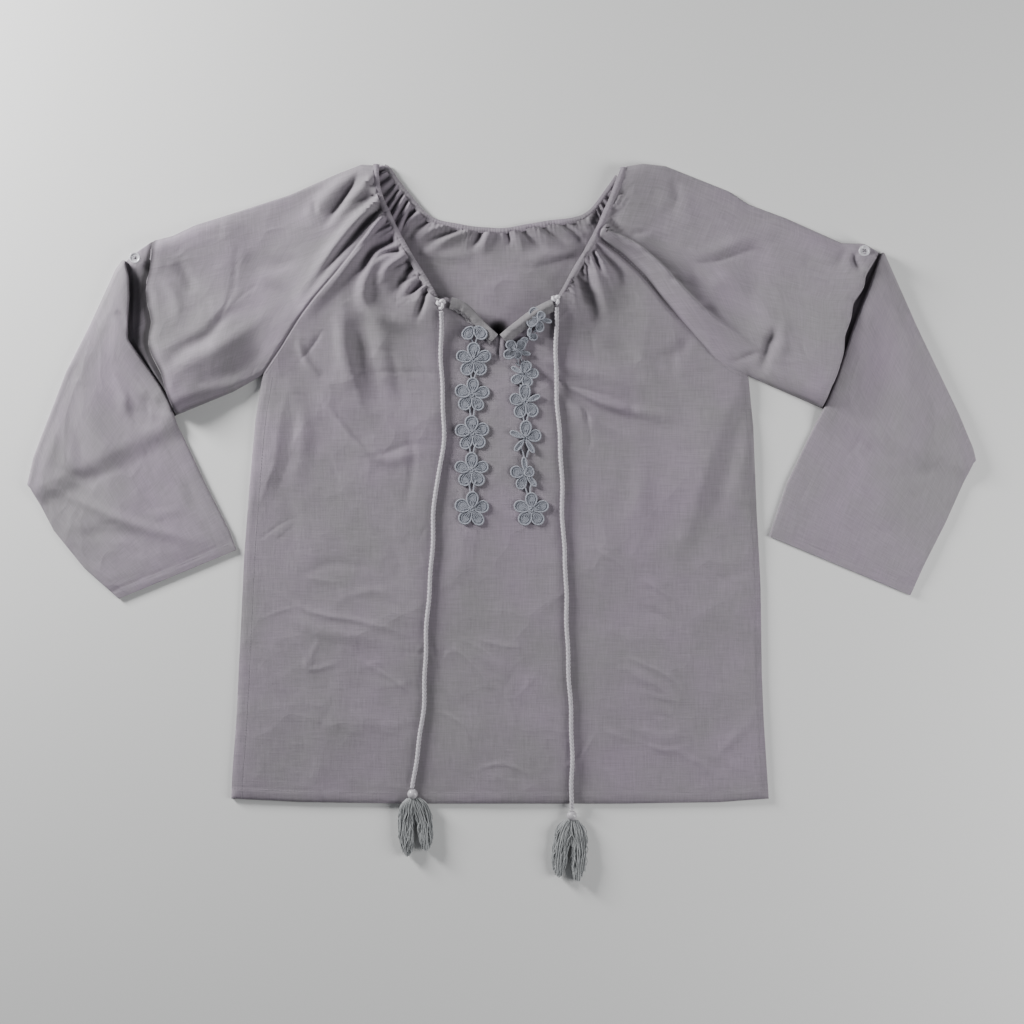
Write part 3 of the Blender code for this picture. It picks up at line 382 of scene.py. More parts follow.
# Folds: line, width at its start and its end, height, how it starts and its cross section
LEFT_FOLDS = [Fold(*row) for row in (
    ([(-126, 284), (-165, 243), (-216, 174)], 3.4, 6, -6.5, SEAM),
    ([(-119, 271), (-140, 249), (-160, 228)], 2.2, 2.6, -2.2, SEAM),
    ([(-125, 300), (-142, 288), (-157, 279)], 2.4, 3, -2.2, SEAM),
    ([(-127, 312), (-140, 306), (-152, 303)], 2.0, 2.6, -2.2, SEAM),
    ([(-107, 240), (-122, 237), (-135, 226)], 2.2, 3, -3.0, SEAM),
    ([(-99, 229), (-110, 224), (-122, 220)], 1.8, 2.4, -2.4, SEAM),
    ([(-89, 214), (-98, 211), (-108, 210)], 1.8, 2.4, -2.4, SEAM),
    ([(-122, 294), (-158, 259), (-192, 205), (-226, 146)], 8, 13, 7.0, SEAM),
    ([(-146, 322), (-164, 295), (-186, 264)], 2.8, 4, -3.0),
    ([(-136, 312), (-162, 284), (-192, 248)], 5, 9, 3.8, SEAM),
    ([(-150, 322), (-178, 300), (-206, 270)], 6, 10, 3.0),
    ([(-195, 295), (-193, 277)], 2.5, 3, -2.0),
    ([(-172, 316), (-214, 284), (-250, 240)], 9, 14, -1.6),
    ([(-124, 272), (-166, 216), (-210, 163)], 4.5, 8, 5.0, SEAM),
    ([(-114, 251), (-137, 238), (-147, 204)], 3.5, 6.5, -5.0, SEAM),
    ([(-110, 243), (-136, 222), (-142, 186), (-118, 168), (-88, 164)], 6, 8, 4.2),
    ([(-94, 224), (-107, 206), (-116, 186)], 5, 8, -5.5, SEAM),
    ([(-100, 236), (-121, 218), (-129, 196)], 4, 6, 3.2, SEAM),
    ([(-84, 206), (-96, 196), (-108, 199)], 4, 5, -4.2, SEAM),
    ([(-78, 197), (-84, 180), (-90, 163)], 3, 4.5, -4.0, SEAM),
    ([(-153, 170), (-144, 128), (-129, 74)], 6, 12, -3.0),
    ([(-169, 218), (-164, 180), (-157, 130), (-148, 88), (-136, 50)], 22, 20, 3.8, FREE, FACET),
    ([(-134, 192), (-124, 140), (-110, 92)], 11, 17, 3.0),
    ([(-168, 176), (-164, 136), (-156, 96)], 6, 9, 2.4),
    ([(-118, 150), (-109, 110), (-100, 78)], 5, 7, -1.4),
    ([(-184, 160), (-196, 142), (-211, 124)], 3, 4, -1.1, FREE, CREASE),
    ([(-212, 150), (-204, 128), (-188, 110)], 3, 5, 1.8),
    ([(-218, 112), (-230, 64), (-235, 26), (-243, 3), (-254, -30)], 17, 12, 2.2, FREE, FACET),
    ([(-222, 112), (-206, 60), (-214, -10)], 8, 10, 1.8),
    ([(-188, 88), (-162, 56), (-136, 24)], 3.0, 4, 1.6, FREE, CREASE),
    ([(-146, 26), (-124, 30), (-96, 40), (-74, 38)], 4, 3, -1.6, FREE, CREASE),
    ([(-187, 82), (-152, 40), (-118, 24), (-74, 36)], 6, 7, 1.6),
    ([(-174, 112), (-112, 116), (-52, 113)], 2.4, 2.4, -1.1, FREE, CREASE),
    ([(-98, 60), (-92, 20), (-100, -30)], 4, 5, -1.0),
    ([(-352, 112), (-330, 136), (-306, 150), (-286, 172), (-262, 186)], 8, 6, -2.2),
    ([(-336, 118), (-290, 140), (-240, 178)], 8, 10, 2.2),
    ([(-296, 160), (-280, 196), (-276, 222), (-274, 256)], 2.6, 3, -0.9, FREE, CREASE),
    ([(-268, 238), (-240, 226), (-206, 234)], 6, 8, -1.8),
    ([(-318, 98), (-276, 116), (-240, 140)], 9, 11, -2.2),
    ([(-304, 84), (-268, 102), (-244, 120)], 5, 7, 1.8),
    ([(-338, 230), (-326, 214), (-318, 196)], 6, 6, -1.6),
    ([(-352, 214), (-336, 190), (-334, 160)], 6, 8, 1.4),
    ([(-250, 208), (-222, 196), (-205, 176)], 7, 9, -2.0),
)]
RIGHT_FOLDS = [Fold(*row) for row in (
    ([(84, 222), (90, 190), (108, 146)], 5.5, 12, -5.0, SEAM),
    ([(90, 233), (94, 222), (99, 212)], 2.2, 2.6, -2.6, SEAM),
    ([(110, 262), (122, 252), (132, 247)], 2.2, 2.6, -2.2, SEAM),
    ([(113, 284), (121, 281), (131, 282)], 2.2, 2.6, -1.8, SEAM),
    ([(118, 303), (127, 301), (138, 303)], 2.2, 2.6, -1.6, SEAM),
    ([(90, 234), (104, 200), (113, 148)], 5, 9, 4.0, SEAM),
    ([(95, 239), (104, 214)], 2.5, 3.5, -4.5, SEAM),
    ([(98, 243), (118, 224), (131, 200)], 3, 6, -4.5, SEAM),
    ([(97, 240), (112, 212), (126, 176)], 4, 7, 3.4, SEAM),
    ([(72, 208), (80, 184), (78, 150)], 6, 10, 3.0, SEAM),
    ([(78, 217), (84, 196), (88, 172)], 3, 5, -2.6, SEAM),
    ([(103, 252), (128, 234), (150, 213), (168, 190), (196, 158), (236, 118)], 3, 3.5, -4.8, SEAM),
    ([(108, 260), (152, 236), (206, 181), (250, 148), (284, 118)], 6, 8, 9.5, SEAM, LAPPED),
    ([(150, 254), (186, 224), (216, 198)], 11, 14, -3.6),
    ([(140, 236), (150, 238), (160, 232)], 3, 3, -1.3),
    ([(170, 206), (182, 214), (190, 208)], 3, 4, -1.5),
    ([(120, 250), (132, 248), (144, 240)], 2.4, 3, -1.6),
    ([(206, 176), (214, 184), (226, 176)], 4, 4, -1.4),
    ([(126, 252), (140, 259), (160, 264)], 2.2, 3, -1.8, FREE, CREASE),
    ([(112, 272), (124, 262), (142, 256)], 3, 4, -2.6, SEAM),
    ([(189, 226), (222, 231), (262, 244), (286, 234)], 3.5, 4, -2.8, FREE, CREASE),
    ([(196, 236), (228, 243), (262, 254), (290, 243)], 7, 8, 2.0),
    ([(190, 230), (196, 218), (194, 206)], 5, 6, -2.6),
    ([(214, 206), (236, 212), (262, 200)], 9, 12, 2.0),
    ([(284, 206), (300, 200), (326, 197)], 3, 3, -1.2, FREE, CREASE),
    ([(286, 166), (276, 138), (268, 112)], 4, 6, -3.2),
    ([(294, 172), (290, 146), (286, 122)], 5, 7, 1.8),
    ([(262, 152), (276, 148), (300, 152)], 6, 6, -1.4),
    ([(367, 241), (365, 230), (373, 217)], 3, 4, -3.4),
    ([(362, 244), (352, 232), (342, 226)], 5, 6, -1.6),
    ([(308, 232), (332, 222), (356, 226)], 8, 8, -1.6),
    ([(160, 300), (184, 290), (204, 268)], 8, 12, 1.8),
    ([(178, 316), (182, 296), (176, 276)], 5, 7, -1.6),
    ([(236, 124), (256, 132), (276, 136)], 2.6, 3, -2.4, FREE, CREASE),
    ([(196, 158), (186, 138), (160, 126)], 5, 6, -1.6),
    ([(3, 151), (3, 141), (9, 130)], 4, 4, 2.2),
    ([(31, 121), (56, 104), (82, 86), (112, 68), (149, 60), (184, 52)], 4.5, 8, -4.2),
    ([(44, 116), (92, 88), (140, 74), (184, 66)], 5, 7, 3.2),
    ([(55, 105), (90, 97), (150, 81), (184, 77)], 3, 3.5, -2.4, FREE, CREASE),
    ([(28, 132), (60, 124), (112, 108), (150, 100)], 7, 9, 1.8),
    ([(60, 92), (92, 66), (120, 50)], 7, 9, 1.8),
    ([(86, 84), (88, 70), (92.5, 55)], 2.6, 3, -1.6),
    ([(112, 150), (132, 128), (140, 104)], 8, 11, -2.2),
    ([(150, 136), (166, 118), (172, 98)], 5, 7, -1.6),
    ([(182, 132), (176, 114), (184, 96)], 4, 6, -1.6),
    ([(128, 98), (136, 82), (134, 66)], 4, 5, -1.2),
    ([(256, 120), (231, 66), (219, 33), (208, -3), (197, -34), (188, -61), (172, -92)],
     20, 15, 3.6, FREE, FACET),
    ([(256, 60), (249, 10), (236, -50)], 8, 10, 1.8),
    ([(140, 30), (146, -10), (136, -50)], 9, 12, 1.4),
)]
LOWER_FOLDS = [Fold(*row) for row in (
    ([(-249, -102), (-222, -122), (-191, -136), (-146, -144), (-85, -161)], 4, 4.6, 1.5, FREE, CREASE),
    ([(-244, -116), (-200, -150), (-150, -160), (-96, -174)], 7, 8, 1.0),
    ([(-222, -150), (-204, -178), (-199, -194), (-158, -183)], 3, 4, 1.1, FREE, CREASE),
    ([(-214, -100), (-176, -84), (-128, -92)], 5, 6, -0.7),
    ([(-170, -120), (-128, -112), (-98, -128)], 4, 5, 0.7),
    ([(-46, -161), (-18, -175), (7, -200)], 3, 4, 1.1, FREE, CREASE),
    ([(-30, -161), (0, -169), (27, -171)], 3, 4, 0.9, FREE, CREASE),
    ([(-38, -170), (-6, -192), (22, -232)], 4, 5, 0.8),
    ([(-12, -206), (8, -226), (16, -252)], 3, 4, 0.9, FREE, CREASE),
    ([(18, -196), (34, -216), (38, -240)], 3, 4, 0.7, FREE, CREASE),
    ([(143, -97), (164, -112), (185, -123)], 3, 4, 1.2, FREE, CREASE),
    ([(149, -129), (176, -144)], 3, 4, -1.0),
    ([(125, -178), (171, -200), (189, -219)], 3.4, 5, 1.3, FREE, CREASE),
    ([(118, -188), (162, -212), (184, -232)], 5, 6, 1.1),
    ([(145, -217), (168, -224), (189, -228)], 3, 3, 0.9, FREE, CREASE),
    ([(156, -241), (180, -245)], 3, 3, -0.8),
    ([(103, -256), (120, -262), (134, -269)], 3, 4, 1.0, FREE, CREASE),
    ([(134, -265), (171, -278), (202, -271)], 3.5, 4, 1.2, FREE, CREASE),
    ([(180, -278), (204, -290), (222, -305)], 3, 4, 1.0, FREE, CREASE),
    ([(128, -252), (166, -264), (200, -258)], 6, 7, 1.0),
    ([(210, -140), (232, -170), (240, -214)], 7, 9, -1.0),
    ([(-240, -210), (-212, -236), (-200, -270)], 7, 8, -0.8),
    ([(-160, -236), (-120, -252), (-84, -246)], 6, 7, 0.6),
    ([(-140, -40), (-110, -70), (-104, -110)], 8, 9, -0.7),
    ([(10, -110), (30, -140), (34, -180)], 8, 9, -0.6),
    ([(96, -20), (110, -60), (104, -110)], 8, 10, 0.8),
    ([(70, -130), (110, -150), (140, -190)], 7, 8, -0.6),
    ([(-60, -20), (-40, -60), (-50, -110)], 9, 10, 0.6),
    ([(-236, 4), (-216, -36), (-222, -80)], 7, 8, -0.8),
    ([(-189, -159), (-196, -176), (-200, -194)], 2.6, 3, 1.0, FREE, CREASE),
    ([(-151, -183), (-120, -200), (-89, -222)], 3, 3.4, 0.9, FREE, CREASE),
    ([(-67, -190), (-45, -175), (-5, -222)], 2.6, 3, 1.0, FREE, CREASE),
    ([(-73, -234), (-39, -253), (-33, -290)], 2.6, 3, 1.1, FREE, CREASE),
    ([(216, -292), (237, -270), (258, -246)], 4, 5, 1.0),
    ([(-226, -60), (-206, -96), (-160, -104)], 3, 4, 0.9, FREE, CREASE),
    ([(60, -300), (84, -282), (100, -256)], 3, 3, 0.8, FREE, CREASE),
    ([(-30, -300), (0, -292), (34, -304)], 3, 3, 0.9, FREE, CREASE),
    ([(84, -60), (122, -84), (142, -98)], 3, 3, 0.8, FREE, CREASE),
)]
BACK_FOLDS = [Fold(*row) for row in (
    ([(-40, 264), (-66, 256), (-95, 238)], 3.5, 5, -5.0, SEAM),
    ([(-34, 266), (-62, 250), (-92, 230)], 5, 7, 4.4, SEAM),
    ([(-20, 263), (-26, 252), (-36, 240)], 3.5, 4, -4.6, SEAM),
    ([(-12, 262), (-18, 246), (-20, 234)], 5, 6, 4.2, SEAM),
    ([(5, 263), (8, 254), (7, 243)], 2.6, 3, -4.0, SEAM),
    ([(12, 264), (20, 250), (24, 236)], 4.5, 6, 4.0, SEAM),
    ([(20, 265), (32, 252), (49, 241)], 2.8, 4, -4.4, SEAM),
    ([(32, 267), (48, 254), (70, 244)], 4, 5, 4.2, SEAM),
    ([(41, 268), (54, 258), (72, 249)], 2.4, 3, -4.0, SEAM),
    ([(52, 270), (66, 262), (86, 252)], 3.5, 4, 4.0, SEAM),
    ([(62, 270), (76, 260), (90, 246)], 2.4, 3, -4.0, SEAM),
    ([(71, 272), (82, 266), (94, 260)], 2.4, 3, -3.6, SEAM),
    ([(-54, 268), (-74, 262), (-92, 250)], 3, 4, 4.0, SEAM),
    ([(-77, 272), (-88, 264), (-102, 252)], 2.6, 3, -5.0, SEAM),
    ([(-84, 280), (-98, 272), (-110, 264)], 3.2, 4, 4.0, SEAM),
    ([(-90, 284), (-100, 274), (-112, 262)], 2.6, 3, -5.0, SEAM),
    ([(-97, 293), (-106, 286), (-116, 281)], 2.2, 2.6, -4.6, SEAM),
    ([(-104, 300), (-112, 294), (-119, 290)], 3, 3, 3.6, SEAM),
    ([(-111, 311), (-118, 305), (-126, 300)], 2.2, 2.6, -4.2, SEAM),
    ([(98, 286), (92, 276), (90, 262)], 3, 4, 3.4, SEAM),
    ([(104, 294), (100, 284), (98, 274)], 2.2, 3, -3.8, SEAM),
    ([(-92, 238), (-70, 222), (-50, 206)], 8, 10, -3.4),
    ([(-96, 246), (-60, 236), (-28, 238)], 6, 7, 2.6),
    ([(84, 232), (52, 220), (24, 202)], 8, 11, -3.4),
    ([(88, 244), (40, 234), (4, 238)], 6, 8, 2.4),
    ([(-47, 219), (-14, 215), (20, 218)], 2.6, 2.6, -1.4, FREE, CREASE),
    ([(-2, 206), (-4, 190), (-3, 176)], 6, 7, -2.2),
)]


@dataclass
class ClothLay:
    """How the cloth lies: the heights of its layers above the surface, and the shade painted into its
    colour in hollows and at the elbows.
    """

    ease: float = 1.6
    neck_rise: float = 8.0
    neck_reach: float = 44.0
    slit_rise: float = 4.4
    slit_reach: float = 18.0
    apex_rise: float = 3.0
    edge_round: float = 15.0
    hump_height: float = 13.0
    hump_fade: float = 75.0
    crumple: float = 1.0
    deepen: float = 1.6
    clamp: float = 4.0
    crease_count: int = 170
    survey_step: float = 1.5
    # hollow_depth and hollow_reach scale the painted shade in the cloth's hollows
    hollow_depth: float = 6.0
    hollow_reach: float = 9.0
    puff_start: float = 1.6
    puff_run: float = 2.6
    puff_top: float = 10.0
    # facet_low to darkest set the painted shade in the drops at the elbows, where shadow falls
    facet_low: float = 206.0
    facet_rise: float = 55.0
    facet_width: float = 7.0
    facet_fade: float = 24.0
    drop_start: float = 6.0
    drop_run: float = 5.0
    least_shade: float = 0.15
    far_fade: float = 6.0
    darkest: float = 1.8
    apex_reach: float = 13.0
    dome_reach: float = 46.0
    side_insets: tuple[float, float] = (9.5, 5.5)
    hem_depth: float = 12.0
    body_half: float = 284.0
    back_lift: float = 4.0
    back_reach: float = 26.0
    folds: list[Fold] = field(default_factory=lambda: LEFT_FOLDS + RIGHT_FOLDS + LOWER_FOLDS)
    highest: dict[float, np.ndarray] = field(default_factory=dict)

    def back_rise(self, x: np.ndarray, y: np.ndarray) -> np.ndarray:
        """Lift the back off the surface by its gathers.

        Args:
            x: places across.
            y: places up.

        Returns:
            The lift, 0 where the back rests.
        """
        neck = smooth(NECK_BACK, 3)
        gap = nearest(neck, x, y)[0]
        inside = np.minimum(nearest(LEFT.top, x, y)[0], nearest(RIGHT.top, x, y)[0])
        rise = self.back_lift * np.exp(-((gap / self.back_reach) ** 2))
        rise = rise + sum(fold.height_at(x, y) for fold in BACK_FOLDS)
        rise = rise + puckers(neck, x, y, 4.6, 0.9, 7.0)
        rise = rise * ramp(gap / 120 * -1 + 1.4)
        return 0.5 * (rise + np.sqrt(rise ** 2 + 0.2)) * ramp(inside / 16 - 0.15) * ramp(y / 40 - 3.4)

    def edge_roll(self, x: np.ndarray, y: np.ndarray) -> np.ndarray:
        """0 at the closed edges, rounding up to 1 a little way in."""
        edges = [LEFT.top, LEFT.under, RIGHT.top, RIGHT.under, SIDE_LEFT, SIDE_RIGHT, HEM]
        gap = np.min([nearest(edge, x, y)[0] for edge in edges], axis=0)
        return np.sqrt(1 - (1 - np.clip(gap / self.edge_round, 0, 1)) ** 2)

    def sleeve_hump(self, sleeve: "SleeveShape", x: np.ndarray, y: np.ndarray) -> np.ndarray:
        """Puff the upper arm, which ends in a steep drop beside the forearm.

        Args:
            sleeve: the sleeve's outlines.
            x: places across.
            y: places up.

        Returns:
            The lift at each place.
        """
        gap, _, side = nearest(smooth(sleeve.crest), x, y)
        inward = -sleeve.side * side * gap
        waves = 0.5 * np.sin(y / 9.0) + 0.3 * np.sin(y / 4.3 + 1)
        puff = ramp((inward + self.puff_start + waves) / self.puff_run)
        fall = np.exp(-np.maximum(inward - self.puff_top, 0) / self.hump_fade)
        return self.hump_height * puff * fall

    def shade(self, x: np.ndarray, y: np.ndarray) -> np.ndarray:
        """Painted shade: how much darker the upper cloth's colour is made in hollows and in the drops at
        the elbows, where shadow falls.
        """
        total = self.hollow(x, y)
        for sleeve in (LEFT, RIGHT):
            gap, _, side = nearest(smooth(sleeve.crest), x, y)
            outward = sleeve.side * side * gap
            lowest = self.facet_low + self.facet_rise * np.exp(-np.maximum(outward, 0) / self.facet_width)
            drop = ramp((outward + self.drop_start) / self.drop_run)
            drop = drop * ramp((lowest - y) / self.facet_fade + 1)
            total = total + sleeve.drop_shade * drop * (sleeve.side * x > ELBOW_X)
            beyond = np.maximum(outward - self.drop_start, 0) / self.far_fade
            total = total * (self.least_shade + (1 - self.least_shade) * np.exp(-beyond))
        return np.minimum(total, self.darkest)

    def shown_sleeve(self, sleeve: "SleeveShape", x: np.ndarray, y: np.ndarray) -> np.ndarray:
        """1 on the upper arm that shows and 0 under the forearm."""
        gap, _, side = nearest(sleeve.inner, x, y)
        return np.where(sleeve.side * x > ELBOW_X, ramp(-sleeve.side * side * gap / 3), 1.0)

    @cached_property
    def creases(self) -> list[Fold]:
        """Short straight creases of washed cloth, spread over the top."""
        chance = np.random.default_rng(41)
        made = []
        for _ in range(self.crease_count):
            middle = chance.uniform((-480, -320), (480, 300))
            way = math.radians(chance.choice((8, 35, -35, 90, 62, -62)) + chance.normal(0, 12))
            half = chance.uniform(9, 30) * np.array([math.cos(way), math.sin(way)])
            bend = chance.normal(0, 0.10, 2) * np.array([-half[1], half[0]])
            line = [tuple(middle - half), tuple(middle + bend), tuple(middle + half)]
            made.append(Fold(line, chance.uniform(1.8, 4.5), chance.uniform(1.8, 4.5),
                             chance.choice((-1.1, 0.8)) * chance.uniform(0.5, 1.0), FREE, CREASE))
        return made

    def crumples(self, x: np.ndarray, y: np.ndarray) -> np.ndarray:
        """Small dents and short creases of washed cloth."""
        soft = 0.5 * uneven(x, y, 46, 1) + 0.3 * uneven(x, y, 21, 2) + 0.12 * uneven(x, y, 9, 3)
        return self.crumple * (soft + sum(fold.height_at(x, y) for fold in self.creases))

    def seams(self, x: np.ndarray, y: np.ndarray) -> np.ndarray:
        """Sewn lines that pull the cloth down: raglans, side seams, hem fold and placket."""
        total = np.zeros(np.shape(x))
        for path, depth, width in ((RAGLAN_LEFT, 1.6, 1.6), (RAGLAN_RIGHT, 1.6, 1.6),
                                   (PLACKET, 1.5, 1.3)):
            total -= depth * np.exp(-((nearest(path, x, y)[0] / width) ** 2))
        for path, inset in zip((SIDE_LEFT, SIDE_RIGHT), self.side_insets):
            gap = nearest(path, x, y)[0] - inset
            total -= 0.5 * np.exp(-((gap / 1.4) ** 2))
        above_hem = nearest(HEM, x, y)[0] - self.hem_depth
        hem = 0.45 * ramp(-above_hem / 1.2) - 0.35 * np.exp(-((above_hem / 1.3) ** 2))
        return total + (np.abs(x) < self.body_half) * hem

    def front_rise(self, x: np.ndarray, y: np.ndarray) -> np.ndarray:
        """Lift the upper cloth above where it would lie flat.

        Args:
            x: places across.
            y: places up.

        Returns:
            The lift, never below the back's own.
        """
        x = np.asarray(x, float)
        y = np.asarray(y, float)
        neck_gap = np.minimum(nearest(NECK_LEFT, x, y)[0], nearest(NECK_RIGHT, x, y)[0])
        slit_gap = np.minimum(nearest(SLIT_LEFT, x, y)[0], nearest(SLIT_RIGHT, x, y)[0])
        rise = self.ease * (1 + 0.5 * np.sin(x / 47 + 1) * np.sin(y / 61))
        rise = rise + self.neck_rise * np.exp(-((neck_gap / self.neck_reach) ** 2))
        rise = rise + self.slit_rise * np.exp(-((slit_gap / self.slit_reach) ** 2))
        apex_gap = np.hypot(x - SLIT_RIGHT[0][0], y - SLIT_RIGHT[0][1])
        rise = rise + self.apex_rise * np.exp(-((apex_gap / self.apex_reach) ** 2))
        for sleeve in (LEFT, RIGHT):
            rise = rise + ramp((sleeve.side * x - 250) / 40) * self.sleeve_hump(sleeve, x, y)
            ridge = nearest(sleeve.dome, x, y)[0]
            rise = rise + sleeve.dome_height * np.exp(-((ridge / self.dome_reach) ** 2))
        rise = rise + self.deepen * sum(fold.height_at(x, y) for fold in self.folds)
        for neck in (NECK_LEFT, NECK_RIGHT):
            rise = rise + puckers(smooth(neck, 3), x, y, 5.0, 1.9, 8.0)
            rise = rise + puckers(smooth(neck, 3), x, y, 8.7, 1.1, 20.0)
        rise = rise + self.crumples(x, y) + self.seams(x, y)
        rise = 0.5 * (rise + np.sqrt(rise ** 2 + self.clamp))
        rise = rise * self.edge_roll(x, y)
        rise = rise * self.shown_sleeve(LEFT, x, y) * self.shown_sleeve(RIGHT, x, y)
        under = self.back_rise(x, y) * (np.abs(x) < 130)
        return np.maximum(rise, under)

    def front_top(self, x: np.ndarray, y: np.ndarray) -> np.ndarray:
        """Height of the upper cloth's outer face."""
        return FRONT_BASE + self.front_rise(x, y)

    @cached_property
    def surveyed(self) -> tuple[np.ndarray, np.ndarray, np.ndarray]:
        """Heights of the body's cloth on a grid, for what lies on it."""
        across = np.arange(-396.0, 398.0, self.survey_step)
        up = np.arange(-340.0, 338.0, self.survey_step)
        return across, up, self.front_top(*np.meshgrid(across, up))

    def read_off(self, grid: np.ndarray, x: np.ndarray, y: np.ndarray) -> np.ndarray:
        """Read a surveyed grid between its points.

        Args:
            grid: values at the surveyed places.
            x: places across.
            y: places up.

        Returns:
            One value for each place.
        """
        across, up, _ = self.surveyed
        u = np.clip((np.asarray(x, float) - across[0]) / self.survey_step, 0, len(across) - 1.01)
        v = np.clip((np.asarray(y, float) - up[0]) / self.survey_step, 0, len(up) - 1.01)
        i, j = u.astype(int), v.astype(int)
        fu, fv = u - i, v - j
        low = grid[j, i] * (1 - fu) + grid[j, i + 1] * fu
        high = grid[j + 1, i] * (1 - fu) + grid[j + 1, i + 1] * fu
        return low * (1 - fv) + high * fv

    @cached_property
    def sunk(self) -> np.ndarray:
        """How far each surveyed place lies below the cloth round it."""
        heights = self.surveyed[2]
        return windowed(heights, round(self.hollow_reach / self.survey_step), np.mean) - heights

    def hollow(self, x: np.ndarray, y: np.ndarray) -> np.ndarray:
        """How deep in a fold each place lies, from 0 to 1; it sets the shade painted into the cloth's
        colour in hollows.
        """
        return ramp(self.read_off(self.sunk, x, y) / self.hollow_depth)

    def rest_height(self, x: np.ndarray, y: np.ndarray, reach: float = 4.0) -> np.ndarray:
        """Find what a trim lies on.

        Args:
            x: places across.
            y: places up.
            reach: how far round a place the cloth carries the trim.

        Returns:
            The highest cloth within reach.
        """
        if reach not in self.highest:
            self.highest[reach] = -windowed(-self.surveyed[2], round(reach / self.survey_step), np.min)
        return self.read_off(self.highest[reach], x, y)


def puckers(path: np.ndarray, x: np.ndarray, y: np.ndarray, pitch: float, depth: float,
            reach: float) -> np.ndarray:
    """Make the small waves that gathering stitches pull up beside a seam.

    Args:
        path: the seam.
        x: places across.
        y: places up.
        pitch: distance from wave to wave.
        depth: height of a wave.
        reach: how far from the seam the waves fade.

    Returns:
        The lift at each place.
    """
    length = steps_of(path).sum()
    gap, along, _ = nearest(path, x, y)
    s = along * length
    phase = 2 * math.pi * s / pitch + 1.8 * np.sin(s / 9.0) + 1.1 * np.sin(s / 3.7 + 2)
    uneven_reach = reach * (1 + 0.5 * np.sin(s / 6.1 + 1) + 0.3 * np.sin(s / 2.9))
    size = 0.75 + 0.35 * np.sin(s / 13.0 + 0.5)
    return depth * size * np.sin(phase) * np.exp(-gap / uneven_reach)


@dataclass(frozen=True)
class SleeveShape:
    """Outlines of one sleeve: the shoulder fold, the underarm seam, the elbow crease, and the
    forearm turned back over it. crest and foot bound the drop beside the forearm."""

    name: str
    side: int
    top: Path
    under: Path
    crest: Path
    foot: Path
    crease: Path
    inner: Path
    outer: Path
    dome: Path
    dome_height: float
    # drop_shade: how much painted shade darkens the drop beside the forearm, standing in for its shadow
    drop_shade: float
    cuff_in: Point
    cuff_out: Point
    forearm_folds: tuple[Fold, ...]


LEFT = SleeveShape(
    name="sleeve_left",
    side=-1,
    top=[(-133.8, 331), (-145.6, 331.8), (-171, 322), (-221.4, 299.8), (-318, 268.7),
         (-342, 257), (-365, 251), (-378, 242), (-391, 231)],
    under=[(-249, 112), (-280.3, 94.6), (-338.5, 70.7), (-416, 32), (-490.4, -4.2)],
    crest=[(-361, 258), (-361.5, 240), (-364, 220), (-367.5, 204), (-365, 182), (-362, 166),
           (-365.5, 149), (-360, 130), (-351, 112), (-348, 98), (-342, 82), (-336.5, 68)],
    foot=[(-386, 238), (-386, 208), (-386, 181), (-385, 148), (-358, 100), (-345, 66)],
    crease=[(-391, 231), (-398, 221), (-425.2, 161.8), (-449.6, 114), (-483.8, 25), (-490.4, -4.2)],
    inner=[(-391, 231), (-386, 215), (-385, 193), (-386.4, 172), (-387, 149), (-371, 125.5),
           (-353, 99), (-343.6, 81.7), (-335.4, 56.6), (-307.7, -2.1), (-283.4, -49.9),
           (-276.1, -69.7)],
    outer=[(-490.4, -4.2), (-466.4, -49.9), (-435.2, -88.4), (-398.8, -120.6)],
    dome=[(-165, 205), (-240, 165), (-320, 125)],
    dome_height=6.0,
    drop_shade=1.6,
    cuff_in=(-276.1, -69.7),
    cuff_out=(-398.8, -120.6),
    forearm_folds=(
        Fold([(-480, 0), (-440, -18), (-390, -40), (-300, -66)], 5, 7, 2.2),
        Fold([(-424, 140), (-424, 60), (-400, -10), (-376, -70)], 15, 22, 3.4),
        Fold([(-372, 92), (-362, 80), (-344, 76)], 6, 7, -2.6),
        Fold([(-392, 84), (-372, 66), (-350, 62)], 7, 8, -2.4),
        Fold([(-404, 108), (-392, 92), (-390, 66)], 5, 6, 1.8),
        Fold([(-399, 178), (-391, 170), (-386, 160)], 4, 4, -2.2),
        Fold([(-468, 20), (-436, 6), (-404, 10)], 6, 7, -1.4),
        Fold([(-448, -56), (-400, -52), (-352, -70)], 6, 8, -1.2),
        Fold([(-330, 4), (-318, -22), (-306, -34)], 6, 7, -1.2),
        Fold([(-462, 66), (-446, 40), (-446, 6)], 6, 7, 1.2),
    ),
)
